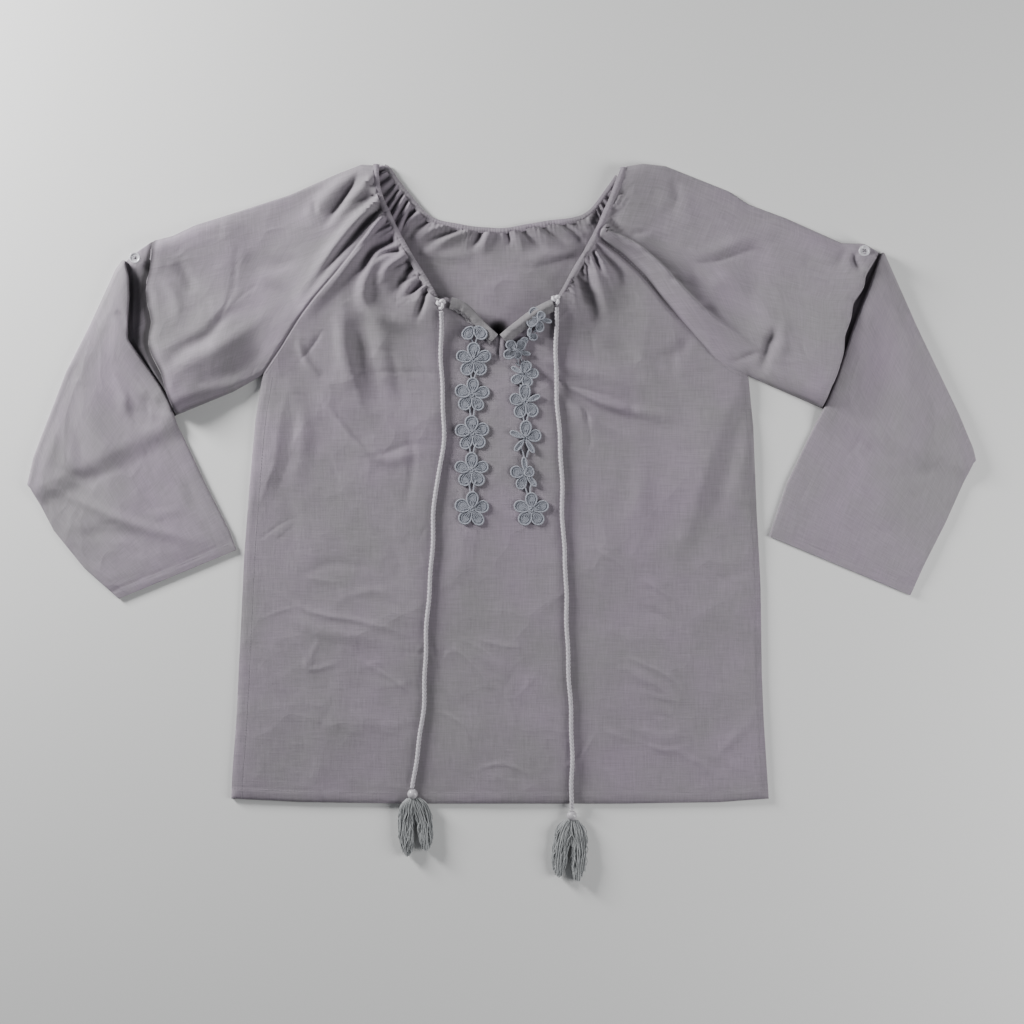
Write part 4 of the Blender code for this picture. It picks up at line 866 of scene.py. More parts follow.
RIGHT = SleeveShape(
    name="sleeve_right",
    side=1,
    top=[(130.3, 330), (147.7, 332.8), (170.9, 330.2), (237.2, 303.7), (257.1, 290.4),
         (296.9, 275.6), (353.1, 249.9), (376.5, 249), (394.6, 238.8)],
    under=[(257, 111.5), (290.3, 96.7), (333.3, 78), (410, 46), (490.6, 21)],
    crest=[(386, 252), (390, 239), (378, 216), (375, 202), (364, 187), (361.6, 172), (355.5, 151),
           (352.5, 135), (349.8, 119), (342.5, 100), (333, 77)],
    foot=[(394, 243), (384, 206), (368, 163), (352, 115), (340, 74)],
    crease=[(394.6, 238.8), (429.4, 160), (472.4, 70.6), (487.4, 34.4), (490.6, 21)],
    inner=[(394.6, 238.8), (379.8, 200.7), (363.3, 158.1), (348.3, 111.3), (333.3, 74.9),
           (296.9, -1), (278.7, -55.5)],
    outer=[(490.6, 21), (462.7, -41.3), (439.4, -87.4), (426, -117)],
    dome=[(170, 190), (240, 158), (318, 122)],
    dome_height=5.0,
    drop_shade=0.1,
    cuff_in=(278.7, -55.5),
    cuff_out=(426, -117),
    forearm_folds=(
        Fold([(408, 160), (420, 60), (412, -10), (376, -60)], 15, 22, 3.0),
        Fold([(440, 120), (452, 70), (450, 20)], 8, 10, -1.4),
        Fold([(330, 36), (360, 10), (372, -30)], 8, 10, -1.2),
        Fold([(384, 170), (390, 140), (384, 108)], 6, 8, -1.6),
        Fold([(470, 30), (440, 10), (400, 6)], 6, 8, -1.3),
        Fold([(430, -60), (390, -48), (340, -52)], 7, 8, -1.1),
    ),
)
LAY = ClothLay()


class Socket:
    """A shader output that Python's operators extend with Math nodes."""

    def __init__(self, shader: "Shader", output: bpy.types.NodeSocket) -> None:
        """Keep the shader and the output."""
        self.shader = shader
        self.output = output

    def math(self, operation: str, *others: "Socket | float") -> "Socket":
        """Add one Math node.

        Args:
            operation: Blender's name of it.
            others: its further inputs.

        Returns:
            The node's output.
        """
        inputs = {0: self} | {k + 1: other for k, other in enumerate(others)}
        return self.shader.node("ShaderNodeMath", {"operation": operation}, inputs)

    def __add__(self, other: "Socket | float") -> "Socket":
        """Sum."""
        return self.math("ADD", other)

    __radd__ = __add__

    def __sub__(self, other: "Socket | float") -> "Socket":
        """Difference."""
        return self.math("SUBTRACT", other)

    def __rsub__(self, other: float) -> "Socket":
        """Difference from a number."""
        return self.math("MULTIPLY", -1.0).math("ADD", other)

    def __mul__(self, other: "Socket | float") -> "Socket":
        """Product."""
        return self.math("MULTIPLY", other)

    __rmul__ = __mul__

    def __pow__(self, other: "Socket | float") -> "Socket":
        """Power."""
        return self.math("POWER", other)

    def sine(self) -> "Socket":
        """Sine."""
        return self.math("SINE")

    def size(self) -> "Socket":
        """Absolute value."""
        return self.math("ABSOLUTE")


class Shader:
    """A material's node tree round one Principled BSDF."""

    def __init__(self, name: str, base: Colour, roughness: float, **constants: float) -> None:
        """Make the material.

        Args:
            name: the material's name.
            base: its colour where nothing varies it.
            roughness: the same for roughness.
            constants: further sockets of the shader, spaces written as _.
        """
        self.material = bpy.data.materials.new(name)
        self.material.use_nodes = True
        self.tree = self.material.node_tree
        self.surface = self.tree.nodes["Principled BSDF"]
        self.surface.inputs["Base Color"].default_value = (*base, 1.0)
        self.surface.inputs["Roughness"].default_value = roughness
        for key, value in constants.items():
            self.surface.inputs[key.replace("_", " ")].default_value = value

    def node(self, kind: str, settings: dict, inputs: dict, output: int | str = 0) -> Socket:
        """Add a node.

        Args:
            kind: Blender's type name.
            settings: its properties, set first.
            inputs: values or sockets, by number or name.
            output: which output to give back.

        Returns:
            That output.
        """
        made = self.tree.nodes.new(kind)
        for key, value in settings.items():
            setattr(made, key, value)
        for key, value in inputs.items():
            if isinstance(value, Socket):
                self.tree.links.new(value.output, made.inputs[key])
            else:
                made.inputs[key].default_value = value
        return Socket(self, made.outputs[output])

    def link(self, value: Socket, name: str) -> None:
        """Lead a socket into the surface."""
        self.tree.links.new(value.output, self.surface.inputs[name])

    def tone(self) -> Socket:
        """The mesh attribute called tone."""
        return self.node("ShaderNodeAttribute", {"attribute_name": "tone"}, {}, "Fac")

    def position(self, uv: str | None = None) -> Socket:
        """Object coordinates in metres, or a UV map of that name."""
        if uv:
            return self.node("ShaderNodeUVMap", {"uv_map": uv}, {})
        return self.node("ShaderNodeTexCoord", {}, {}, "Object")

    def stretched(self, place: Socket, scale: tuple[float, float, float]) -> Socket:
        """A place with its axes scaled."""
        return self.node("ShaderNodeVectorMath", {"operation": "MULTIPLY"}, {0: place, 1: scale})

    def noise(self, place: Socket, scale: float, detail: float = 3.0, rough: float = 0.5) -> Socket:
        """Noise from 0 to 1."""
        return self.node("ShaderNodeTexNoise", {"noise_dimensions": "3D"},
                         {"Vector": place, "Scale": scale, "Detail": detail, "Roughness": rough}, 0)

    def creases(self, place: Socket, scale: float) -> Socket:
        """Soft dents that meet in sharp straight creases, from 0 to about 1."""
        bend = self.node("ShaderNodeTexNoise", {"noise_dimensions": "3D"},
                         {"Vector": place, "Scale": 9.0, "Detail": 2.0}, 1)
        warped = self.node("ShaderNodeVectorMath", {"operation": "MULTIPLY_ADD"},
                           {0: bend, 1: (0.06, 0.06, 0.0), 2: place})
        return self.node("ShaderNodeTexVoronoi", {"feature": "F1", "voronoi_dimensions": "2D"},
                         {"Vector": warped, "Scale": scale}, 0) ** 2.0

    def mix(self, share: Socket, low: Colour | Socket, high: Colour | Socket) -> Socket:
        """A colour between two by a share."""
        def filled(value: Colour | Socket) -> tuple | Socket:
            """A colour with its alpha."""
            return value if isinstance(value, Socket) else (*value, 1.0)

        return self.node("ShaderNodeMix", {"data_type": "RGBA"},
                         {0: share, 6: filled(low), 7: filled(high)}, 2)

    def shaded(self, colour: Socket, share: Socket) -> Socket:
        """A colour made lighter or darker by a factor."""
        return self.node("ShaderNodeVectorMath", {"operation": "SCALE"}, {0: colour, "Scale": share})

    def bump(self, height: Socket) -> None:
        """Raise the surface by a height in millimetres."""
        made = self.node("ShaderNodeBump", {}, {"Strength": 1.0, "Distance": MM, "Height": height})
        self.link(made, "Normal")


@dataclass(frozen=True)
class WovenCloth:
    """Plain woven cloth with slubs; pitch is the distance from thread to thread in metres."""

    name: str = "woven_cloth"
    grey: Colour = (0.264, 0.246, 0.264)
    mauve: Colour = (0.294, 0.250, 0.303)
    pitch: float = 0.00052
    weave_height: float = 0.10
    slub: float = 0.46
    # hollow_shade: how far the tone's painted shade darkens the colour
    hollow_shade: float = 0.45

    def material(self) -> bpy.types.Material:
        """The cloth's material, on the UV map called cloth; the attribute tone paints shade into its
        colour where the pieces mark it: hollows, the drops at the elbows and the pit above the slit.
        """
        shader = Shader(self.name, self.grey, 0.86, Sheen_Weight=0.22, Sheen_Roughness=0.45,
                        Specular_IOR_Level=0.18)
        place = shader.position("cloth")
        turn = math.pi / self.pitch
        u = shader.node("ShaderNodeSeparateXYZ", {}, {0: place}, 0)
        v = shader.node("ShaderNodeSeparateXYZ", {}, {0: place}, 1)
        wobble = shader.noise(place, 160.0, 2.0)
        warp = (u * turn + wobble * 2.0).sine()
        weft = (v * turn + wobble * 2.0).sine()
        over = warp * weft * 0.5 + 0.5
        weave = warp.size() * over + weft.size() * (1.0 - over)
        upright = shader.noise(shader.stretched(place, (900.0, 50.0, 1.0)), 1.0, 2.0)
        level = shader.noise(shader.stretched(place, (50.0, 900.0, 1.0)), 1.0, 2.0)
        thick = shader.noise(shader.stretched(place, (320.0, 22.0, 1.0)), 1.0, 1.0)
        wide = shader.noise(shader.stretched(place, (22.0, 320.0, 1.0)), 1.0, 1.0)
        slubs = (upright + level) * 0.75 + (thick + wide) * 0.25
        patches = shader.noise(place, 9.0, 3.0, 0.6)
        tint = shader.node("ShaderNodeValToRGB", {}, {0: patches})
        stops = tint.output.node.color_ramp.elements
        stops[0].position, stops[1].position = 0.36, 0.66
        colour = shader.mix(tint, self.grey, self.mauve)
        hollow = shader.tone()
        light = slubs * self.slub + weave * 0.12 + (0.94 - self.slub)
        # Painted shade: the tone darkens the colour where shade falls.
        light = light * (1.0 - hollow * self.hollow_shade)
        shader.link(shader.shaded(colour, light), "Base Color")
        crinkle = shader.noise(place, 60.0, 6.0, 0.62)
        folded = shader.creases(place, 13.0) * 4.2 + shader.creases(place, 29.0) * 1.3
        where = shader.noise(place, 6.0, 1.0) * 2.4 - 0.6
        shader.bump(weave * self.weave_height + slubs * 0.16 + crinkle * 0.5 + folded * where)
        return shader.material


@dataclass(frozen=True)
class LaceThread:
    """Guipure lace: close stitches in the petals and lighter cords round them."""

    name: str = "lace_thread"
    ground: Colour = (0.255, 0.265, 0.305)
    cord: Colour = (0.325, 0.337, 0.385)

    def material(self) -> bpy.types.Material:
        """The lace's material, which reads the attribute called tone: 1 on its cords."""
        shader = Shader(self.name, self.ground, 0.78, Sheen_Weight=0.15, Specular_IOR_Level=0.25)
        place = shader.position()
        cord = shader.tone()
        grain = shader.noise(place, 900.0, 3.0, 0.6)
        stitches = shader.node("ShaderNodeTexWave", {"bands_direction": "DIAGONAL"},
                               {"Vector": place, "Scale": 260.0, "Distortion": 3.0, "Detail": 2.0}, 1)
        colour = shader.mix(cord, self.ground, self.cord)
        shader.link(shader.shaded(colour, grain * 0.5 + stitches * 0.25 + 0.64), "Base Color")
        shader.bump(stitches * 0.28 + grain * 0.35)
        return shader.material


@dataclass(frozen=True)
class SpunCotton:
    """Spun cotton of the cords, the knots, the tassels and the sewing thread."""

    name: str
    colour: Colour
    shade: Colour
    fibre: float = 1400.0

    def material(self) -> bpy.types.Material:
        """The yarn's material: fibres of uneven lightness."""
        shader = Shader(self.name, self.colour, 0.82, Sheen_Weight=0.3, Specular_IOR_Level=0.2)
        place = shader.position()
        fibres = shader.noise(shader.stretched(place, (1.0, 0.35, 1.0)), self.fibre, 3.0, 0.65)
        patches = shader.noise(place, 120.0, 2.0)
        strand = shader.tone()
        share = fibres * 0.5 + patches * 0.2 + strand * 0.45 - 0.1
        shader.link(shader.mix(share, self.shade, self.colour), "Base Color")
        shader.bump(fibres * 0.5)
        return shader.material


@dataclass(frozen=True)
class Pearl:
    """Pearly plastic of the buttons and beads."""

    name: str
    colour: Colour
    glint: Colour
    roughness: float = 0.24

    def material(self) -> bpy.types.Material:
        """The pearl's material: soft swirls under a coat."""
        shader = Shader(self.name, self.colour, self.roughness, Coat_Weight=0.5, Coat_Roughness=0.1)
        place = shader.position()
        swirl = shader.noise(place, 260.0, 4.0, 0.6)
        shader.link(shader.mix(swirl, self.colour, self.glint), "Base Color")
        shader.link(swirl * 0.16 + (self.roughness - 0.06), "Roughness")
        shader.bump(swirl * 0.05)
        return shader.material


class MeshParts:
    """Points, faces and UV corners gathered for one mesh."""

    def __init__(self) -> None:
        """Start with nothing."""
        self.points: list[np.ndarray] = []
        self.faces: list[list[int]] = []
        self.uvs: list[tuple[float, float]] = []
        self.marks: list[np.ndarray] = []
        self.count = 0

    def add_points(self, points: np.ndarray, mark: np.ndarray | float = 0.0) -> int:
        """Keep points and give the number of the first.

        Args:
            points: an array whose last axis is x, y, z in millimetres.
            mark: the attribute called tone on them, one value or one for each.

        Returns:
            The number of the first of them.
        """
        flat = np.asarray(points, float).reshape(-1, 3)
        first = self.count
        self.points.append(flat)
        self.marks.append(np.broadcast_to(np.ravel(mark), (len(flat),)))
        self.count += len(flat)
        return first

    def add_face(self, corners: list[int], uv: tuple[float, float] = (0.0, 0.0)) -> None:
        """Keep one face, all of it at one UV place."""
        self.faces.append(corners)
        self.uvs += [uv] * len(corners)

    def add_grid(self, points: np.ndarray, u: np.ndarray, v: np.ndarray, wrap: bool = False,
                 mark: np.ndarray | float = 0.0) -> int:
        """Keep a grid of points as quads.

        Args:
            points: rows by columns by 3.
            u: UV across, one for each column, and one more where the grid wraps.
            v: UV along, one for each row.
            wrap: whether the last column joins the first.
            mark: the attribute called tone on it.

        Returns:
            The number of the first point.
        """
        rows, columns = points.shape[:2]
        first = self.add_points(points, mark)
        for r in range(rows - 1):
            for c in range(columns if wrap else columns - 1):
                n = (c + 1) % columns
                near, far = first + r * columns, first + (r + 1) * columns
                self.faces.append([near + c, near + n, far + n, far + c])
                self.uvs += [(u[c], v[r]), (u[c + 1], v[r]), (u[c + 1], v[r + 1]), (u[c], v[r + 1])]
        return first

    def add_tube(self, rings: np.ndarray, mark: float = 0.0) -> None:
        """Keep a closed tube through rings, with UVs in metres round and along it.

        Args:
            rings: rings by points by 3.
            mark: the attribute called tone on it.
        """
        count, loop = rings.shape[:2]
        centres = rings.mean(1)
        along = travelled(centres) * MM
        girth = np.linalg.norm(rings[0] - np.roll(rings[0], -1, 0), axis=1).sum() * MM
        first = self.add_grid(rings, np.linspace(0, girth, loop + 1), along, True, mark)
        self.add_face(list(range(first, first + loop))[::-1])
        last = first + (count - 1) * loop
        self.add_face(list(range(last, last + loop)))

    def build(self, name: str, material: bpy.types.Material, sharp: float = 60.0) -> bpy.types.Object:
        """Make the object, closed and facing out.

        Args:
            name: the object's name.
            material: its finish.
            sharp: the angle in degrees past which an edge isn't smoothed.

        Returns:
            The object, at the origin.
        """
        mesh = bpy.data.meshes.new(name)
        mesh.from_pydata((np.concatenate(self.points) * MM).tolist(), [], self.faces)
        layer = mesh.uv_layers.new(name="cloth")
        layer.data.foreach_set("uv", np.array(self.uvs, np.float32).ravel())
        marks = mesh.attributes.new("tone", "FLOAT", "POINT")
        marks.data.foreach_set("value", np.concatenate(self.marks).astype(np.float32))
        body = bmesh.new()
        body.from_mesh(mesh)
        bmesh.ops.recalc_face_normals(body, faces=body.faces)
        body.to_mesh(mesh)
        body.free()
        mesh.shade_smooth()
        mesh.set_sharp_from_angle(angle=math.radians(sharp))
        mesh.materials.append(material)
        made = bpy.data.objects.new(name, mesh)
        bpy.context.scene.collection.objects.link(made)
        return made


def ringed(path: np.ndarray, ahead: np.ndarray, size: np.ndarray, turn: np.ndarray) -> np.ndarray:
    """Put a ring square to the way ahead round each point of a path.

    Args:
        path: points in order, in millimetres.
        ahead: the way ahead at each point.
        size: the ring's radius at each point, and at each turn where it varies.
        turn: the angles of the ring's points.

    Returns:
        Rings by points by 3.
    """
    ahead = ahead / np.linalg.norm(ahead, axis=1)[:, None]
    across = np.cross(ahead, [0.0, 0.0, 1.0])
    upright = np.linalg.norm(across, axis=1) < 1e-3
    across[upright] = (1.0, 0.0, 0.0)
    across /= np.linalg.norm(across, axis=1)[:, None]
    over = np.cross(across, ahead)
    return (path[:, None] + across[:, None] * (size * np.cos(turn))[..., None]
            + over[:, None] * (size * np.sin(turn))[..., None])


def tube_rings(path: np.ndarray, radius: float | np.ndarray, sides: int,
               lobes: int = 0, lobe_depth: float = 0.0, twist: float = 0.0) -> np.ndarray:
    """Work out rings round a path.

    Args:
        path: points in order, in millimetres.
        radius: one for the whole path or one for each point.
        sides: points round each ring.
        lobes: strands of a twisted cord.
        lobe_depth: how deep the grooves between them are, as a share of the radius.
        twist: length of one whole turn of the strands.

    Returns:
        Rings by points by 3.
    """
    path = np.asarray(path, float)
    turn = np.arange(sides) * 2 * math.pi / sides
    size = np.broadcast_to(np.asarray(radius, float), (len(path),))[:, None]
    if lobes:
        phase = lobes * (turn[None] - 2 * math.pi * travelled(path)[:, None] / twist)
        size = size * (1 - lobe_depth + lobe_depth * np.abs(np.cos(0.5 * phase)))
    return ringed(path, np.gradient(path, axis=0), size, turn)


def kept(piece: bpy.types.Object, slot: Slot, *nodes: str) -> bpy.types.Object:
    """Tie a piece to the body, in place of CAD nodes.

    Args:
        piece: the finished object.
        slot: not used.
        nodes: the CAD nodes that it stands for.

    Returns:
        The same object.
    """
    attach(piece, "root")
    if nodes:
        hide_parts(*nodes)
    LOG.info("%s: %d faces", piece.name, len(piece.data.polygons))
    return piece


def closed_sheet(parts: MeshParts, top: np.ndarray, low: np.ndarray, step: int,
                 tone: np.ndarray | float = 0.0) -> None:
    """Add a sheet of cloth: a fine upper face, a coarser lower one, and the rim between them.

    Args:
        parts: the mesh under way.
        top: rows by columns by 3; both counts less 1 divide by step.
        low: the height of the lower face at each point of top.
        step: how many cells of the upper face one cell of the lower spans.
        tone: the attribute called tone on the upper face.
    """
    rows, columns = top.shape[:2]
    u, v = top[0, :, 0] * MM, -np.linspace(0, 1, rows) * 0.6
    first = parts.add_points(top, tone)
    for r in range(rows - 1):
        for c in range(columns - 1):
            corners = [(r, c), (r, c + 1), (r + 1, c + 1), (r + 1, c)]
            parts.faces.append([first + a * columns + b for a, b in corners])
            parts.uvs += [(top[a, b, 0] * MM, top[a, b, 1] * MM) for a, b in corners]
    under = top[::step, ::step].copy()
    under[..., 2] = low[::step, ::step]
    low_rows, low_columns = under.shape[:2]
    base = parts.add_grid(under, u[::step], v[::step])
    rim = ([(0, c) for c in range(low_columns - 1)]
           + [(r, low_columns - 1) for r in range(low_rows - 1)]
           + [(low_rows - 1, c) for c in range(low_columns - 1, 0, -1)]
           + [(r, 0) for r in range(low_rows - 1, 0, -1)])
    for (r, c), (r2, c2) in zip(rim, rim[1:] + rim[:1]):
        steps = [(r * step + (r2 - r) * k, c * step + (c2 - c) * k) for k in range(step + 1)]
        upper = [first + a * columns + b for a, b in steps]
        corners = upper[::-1] + [base + r * low_columns + c, base + r2 * low_columns + c2]
        place = top[steps[0]]
        parts.add_face(corners, (place[0] * MM, place[1] * MM))


def patch(top: np.ndarray, bottom: np.ndarray, left: np.ndarray, right: np.ndarray,
          across: np.ndarray, down: np.ndarray) -> np.ndarray:
    """Fill four edges with a grid of points, rows going down and columns across."""
    a = np.asarray(across)[None, :, None]
    d = np.asarray(down)[:, None, None]
    corners = ((1 - a) * (1 - d) * top[0] + a * (1 - d) * top[-1]
               + (1 - a) * d * bottom[0] + a * d * bottom[-1])
    return ((1 - d) * top[None] + d * bottom[None] + (1 - a) * left[:, None]
            + a * right[:, None] - corners)


def between(first: np.ndarray, last: np.ndarray, start_edge: np.ndarray, end_edge: np.ndarray,
            across: np.ndarray, steps: np.ndarray) -> np.ndarray:
    """Fill the space between two rings of a sleeve, whose ends keep to two edges."""
    a = np.asarray(across)[None, :, None]
    d = np.asarray(steps)[:, None, None]
    straight = (1 - d) * first[None] + d * last[None]
    start_pull = start_edge[:, None] - ((1 - d) * first[0] + d * last[0])
    end_pull = end_edge[:, None] - ((1 - d) * first[-1] + d * last[-1])
    return straight + (1 - a) * start_pull + a * end_pull


@dataclass
class Body:
    """The front and back panels."""

    cloth: bpy.types.Material
    neck_offset: float = BINDING_WIDTH / 2 + 2 * SEAM_GAP - 1.6
    rows: int = 300
    step: int = 4
    pleat_depth: float = 2.4

    def neck(self, path: Path, side: float) -> np.ndarray:
        """The cloth's own edge beside a stretch of binding."""
        return shifted(smooth(path, 3), side * self.neck_offset)

    def panel(self, name: str, top: np.ndarray, columns: np.ndarray, power: float,
              heights: tuple) -> bpy.types.Object:
        """Make a panel from its neck and raglan edge down to the hem.

        Args:
            name: the piece and the CAD node that it replaces.
            top: the upper edge, left to right.
            columns: x of each column along that edge.
            power: how much closer the rows are near the neck.
            heights: functions of x and y for the upper face, the lower one or None, and the tone, which
                is painted shade.

        Returns:
            The panel.
        """
        across = (columns - top[0, 0]) / (top[-1, 0] - top[0, 0])
        down = (np.arange(self.rows + 1) / self.rows) ** power
        sides = [at(side, down) for side in (SIDE_LEFT, SIDE_RIGHT)]
        flat = patch(at_x(top, across), at_x(HEM, across), *sides, across, down)
        upper, lower, tone = heights
        grid = raised(flat, upper(flat[..., 0], flat[..., 1]))
        if lower is None:
            low = np.maximum(windowed(grid[..., 2], self.step, np.min) - WALL, WALL + LAYER_GAP)
        else:
            low = lower(flat[..., 0], flat[..., 1])
        parts = MeshParts()
        # Painted shade: the tone darkens the panel's colour where shade falls; on the back it is also
        # darkened where the cloth lies below its neighbours, and pleat_depth sets the depth that gets the
        # full painted shade.
        shade = tone(flat[..., 0], flat[..., 1])
        if lower is not None:
            shade = shade + ramp((windowed(grid[..., 2], 4, np.mean) - grid[..., 2]) / self.pleat_depth)
        closed_sheet(parts, grid, low, self.step, shade)
        return kept(parts.build(name, self.cloth), Slot.CLOTH, name)

    def front(self) -> bpy.types.Object:
        """The front, with the gathers of the neck and the open slit."""
        left = self.neck(NECK_LEFT, 1)[::-1]
        left = left[left[:, 1] < RAGLAN_LEFT[-1][1]]
        right = self.neck(NECK_RIGHT, -1)
        right = right[right[:, 1] < RAGLAN_RIGHT[0][1]]
        top = joined(RAGLAN_LEFT, left, SLIT_LEFT, SLIT_RIGHT[1:], right, RAGLAN_RIGHT)
        columns = spaced(-249, (-121.8, 56), (-70, 72), (-2.6, 36), (60, 32), (100.8, 56), (257, 48))
        # Painted shade: the front's colour is darkened in its hollows through the tone.
        return self.panel("front_panel", top, columns, 1.15, (LAY.front_top, None, LAY.hollow))

    def back(self) -> bpy.types.Object:
        """The back, whose gathers show inside the neck."""
        neck = self.neck(NECK_BACK, -1)
        neck = neck[(neck[:, 0] > -96) & (neck[:, 0] < 104)]
        top = joined(BACK_RAGLAN_LEFT, neck, BACK_RAGLAN_RIGHT)
        columns = spaced(-249, (-96, 32), (104, 200), (257, 32))

        def upper(x: np.ndarray, y: np.ndarray) -> np.ndarray:
            """The back's inner face."""
            return WALL + LAY.back_rise(x, y) + 0.12 * uneven(x, y, 24, 4) + 0.12

        def lower(x: np.ndarray, _: np.ndarray) -> np.ndarray:
            """The back's outer face, which rests on the surface."""
            return 0.0 * x

        def tone(x: np.ndarray, y: np.ndarray) -> np.ndarray:
            """Painted shadow: the colour is darkened in the pit above the slit's end, where the edges
            nearly meet.
            """
            pit = np.hypot((x - SLIT_RIGHT[0][0]) / 9.5, (y - SLIT_RIGHT[0][1] - 9) / 9.5)
            return 2.15 * np.exp(-(pit ** 4))

        return self.panel("back_panel", top, columns, 1.9, (upper, lower, tone))


@dataclass
class Sleeve:
    """A sleeve: a flattened tube, gathered at the neck and folded back over itself at the elbow."""

    shape: SleeveShape
    cloth: bpy.types.Material
    fold_stack: float = 2.2
    forearm_drop: float = 24.0
    elbow_lift: float = 5.5
    places: tuple = (0.0, (0.035, 8), (0.965, 84), (1.0, 8))
    step: int = 4
    upper_rings: int = 118
    cut_round: float = 0.46
    hollow_half: float = 0.05

    def edges_at(self, edge: Path, rings: Sequence[np.ndarray], end: int) -> list[float]:
        """Fractions of an edge where the crest and the foot meet it."""
        return [0.0, *[float(nearest(edge, *ring[end])[1]) for ring in rings], 1.0]

    def plan(self, first_ring: np.ndarray, across: np.ndarray) -> tuple[np.ndarray, np.ndarray]:
        """Lay out one layer in the plane.

        Args:
            first_ring: the neck and raglan edge.
            across: places from the shoulder fold to the underarm seam.

        Returns:
            The rings of the upper arm and the rings of the forearm.
        """
        shape = self.shape
        rings = [at(path, across) for path in (first_ring, shape.crest, shape.foot, shape.crease)]
        steps = [spaced(0.0, (0.2, 30), (0.86, 56), (1.0, 17))[:-1],
                 np.arange(14) / 14,
                 spaced(0.0, (1.0, 7))]
        tops = self.edges_at(shape.top, rings[1:3], 0)
        unders = self.edges_at(shape.under, rings[1:3], -1)
        upper = []
        for k, step in enumerate(steps):
            edge_top = at(shape.top, tops[k] + (tops[k + 1] - tops[k]) * step)
            edge_under = at(shape.under, unders[k] + (unders[k + 1] - unders[k]) * step)
            upper.append(between(rings[k], rings[k + 1], edge_top, edge_under, across, step))
        turned = spaced(0.0, (0.1, 14), (0.95, 66), (1.0, 6))[1:]
        cuff = at([shape.cuff_in, shape.cuff_out], across)
        lower = between(rings[-1], cuff, at(shape.inner, turned), at(shape.outer, turned), across,
                        turned)
        return np.concatenate(upper), lower

    def forearm_middle(self, x: np.ndarray, y: np.ndarray) -> np.ndarray:
        """Height of the forearm's middle: over the upper arm near the crease, then down."""
        gap, _, side = nearest(self.shape.under, x, y)
        below = -self.shape.side * side * gap
        over = 2 * self.fold_stack * (1 - ramp((below - 2) / self.forearm_drop))
        beside = nearest(self.shape.inner[1:5], x, y)[0]
        standing = self.elbow_lift * np.exp(-((beside / 26) ** 2)) * ramp(-below / 30 + 0.4)
        return SLEEVE_MIDDLE + over + standing

    def forearm_puff(self, x: np.ndarray, y: np.ndarray) -> np.ndarray:
        """How far the forearm's upper layer stands above where it would lie flat."""
        shape = self.shape
        loose = ramp(nearest(shape.crease, x, y)[0] / 14)
        for edge in (shape.inner, shape.outer):
            gap = np.clip(nearest(edge, x, y)[0] / 11, 0, 1)
            loose = loose * np.sqrt(1 - (1 - gap) ** 2)
        cuff = nearest([shape.cuff_in, shape.cuff_out], x, y)[0]
        loose = loose * ramp(cuff / 30 + 0.12)
        rise = 1.8 + sum(fold.height_at(x, y) for fold in shape.forearm_folds) + LAY.crumples(x, y)
        hem_line = 0.4 * ramp(-(cuff - 9) / 1.2) - 0.4 * np.exp(-(((cuff - 9) / 1.2) ** 2))
        return loose * 0.5 * (rise + np.sqrt(rise ** 2 + 0.1)) + hem_line * ramp(cuff / 1.5)

    def layer(self, first_ring: np.ndarray, places: np.ndarray, front: bool) -> np.ndarray:
        """Work out the outer face of one layer, from the neck over the crease to the cuff.

        Args:
            first_ring: the neck and raglan edge.
            places: fractions across the sleeve.
            front: whether this layer is on top at the shoulder.

        Returns:
            Rings by places by 3.
        """
        shape = self.shape
        upper, lower = self.plan(first_ring, places)
        half = 0.5 * LAYER_GAP + WALL
        across_round = 2 * np.minimum(places, 1 - places) * 90 / 1.6
        rim = np.sqrt(1 - (1 - np.clip(across_round, 0, 1)) ** 2)
        x, y = upper[..., 0], upper[..., 1]
        if front:
            height = SLEEVE_MIDDLE + half * rim + LAY.front_rise(x, y)
        else:
            height = SLEEVE_MIDDLE - half * rim + 0 * x
        rings = list(raised(upper, height))
        crease = at(shape.crease, places)
        way = np.asarray(shape.crease[-1], float) - np.asarray(shape.crease[0], float)
        outward = np.array([way[1], -way[0]]) / np.linalg.norm(way) * -shape.side
        radius = self.fold_stack + (-half * rim if front else half * rim)
        centre = SLEEVE_MIDDLE + self.fold_stack
        for turn in np.radians([22, 45, 67, 90, 113, 135, 158]):
            points = crease + outward * (radius * math.sin(turn))[:, None]
            rings.append(raised(points, centre - radius * math.cos(turn)))
        x, y = lower[..., 0], lower[..., 1]
        middle = self.forearm_middle(x, y)
        if front:
            height = middle - half * rim
        else:
            height = middle + half * rim + self.forearm_puff(x, y)
        rings += list(raised(lower, height))
        return np.array(rings)

    def build(self, front_ring: np.ndarray, back_ring: np.ndarray) -> bpy.types.Object:
        """Make the sleeve as one closed wall.

        Args:
            front_ring: neck and raglan edge that it shares with the front.
            back_ring: the same with the back.

        Returns:
            The sleeve.
        """
        places = spaced(*self.places)
        front = self.layer(front_ring, places, True)
        back = self.layer(back_ring, places, False)
        for layer in (front, back):
            layer[:, 0] = 0.5 * (front[:, 0] + back[:, 0])
            layer[:, -1] = 0.5 * (front[:, -1] + back[:, -1])
        outer = np.concatenate([front, back[:, -2:0:-1]], axis=1)
        rings = len(outer) - 1 - (len(outer) - 1) % self.step
        outer = np.concatenate([outer[:rings], outer[-1:]])
        count, loop = outer.shape[:2]
        widths = steps_of(front[0])
        u = np.concatenate([[0], np.cumsum(widths), widths.sum() + np.cumsum(widths[::-1])]) * MM
        u = u / u[-1] * self.cut_round
        centre = outer[:, :len(places)].mean(1)
        v = travelled(centre) * MM
        parts = MeshParts()
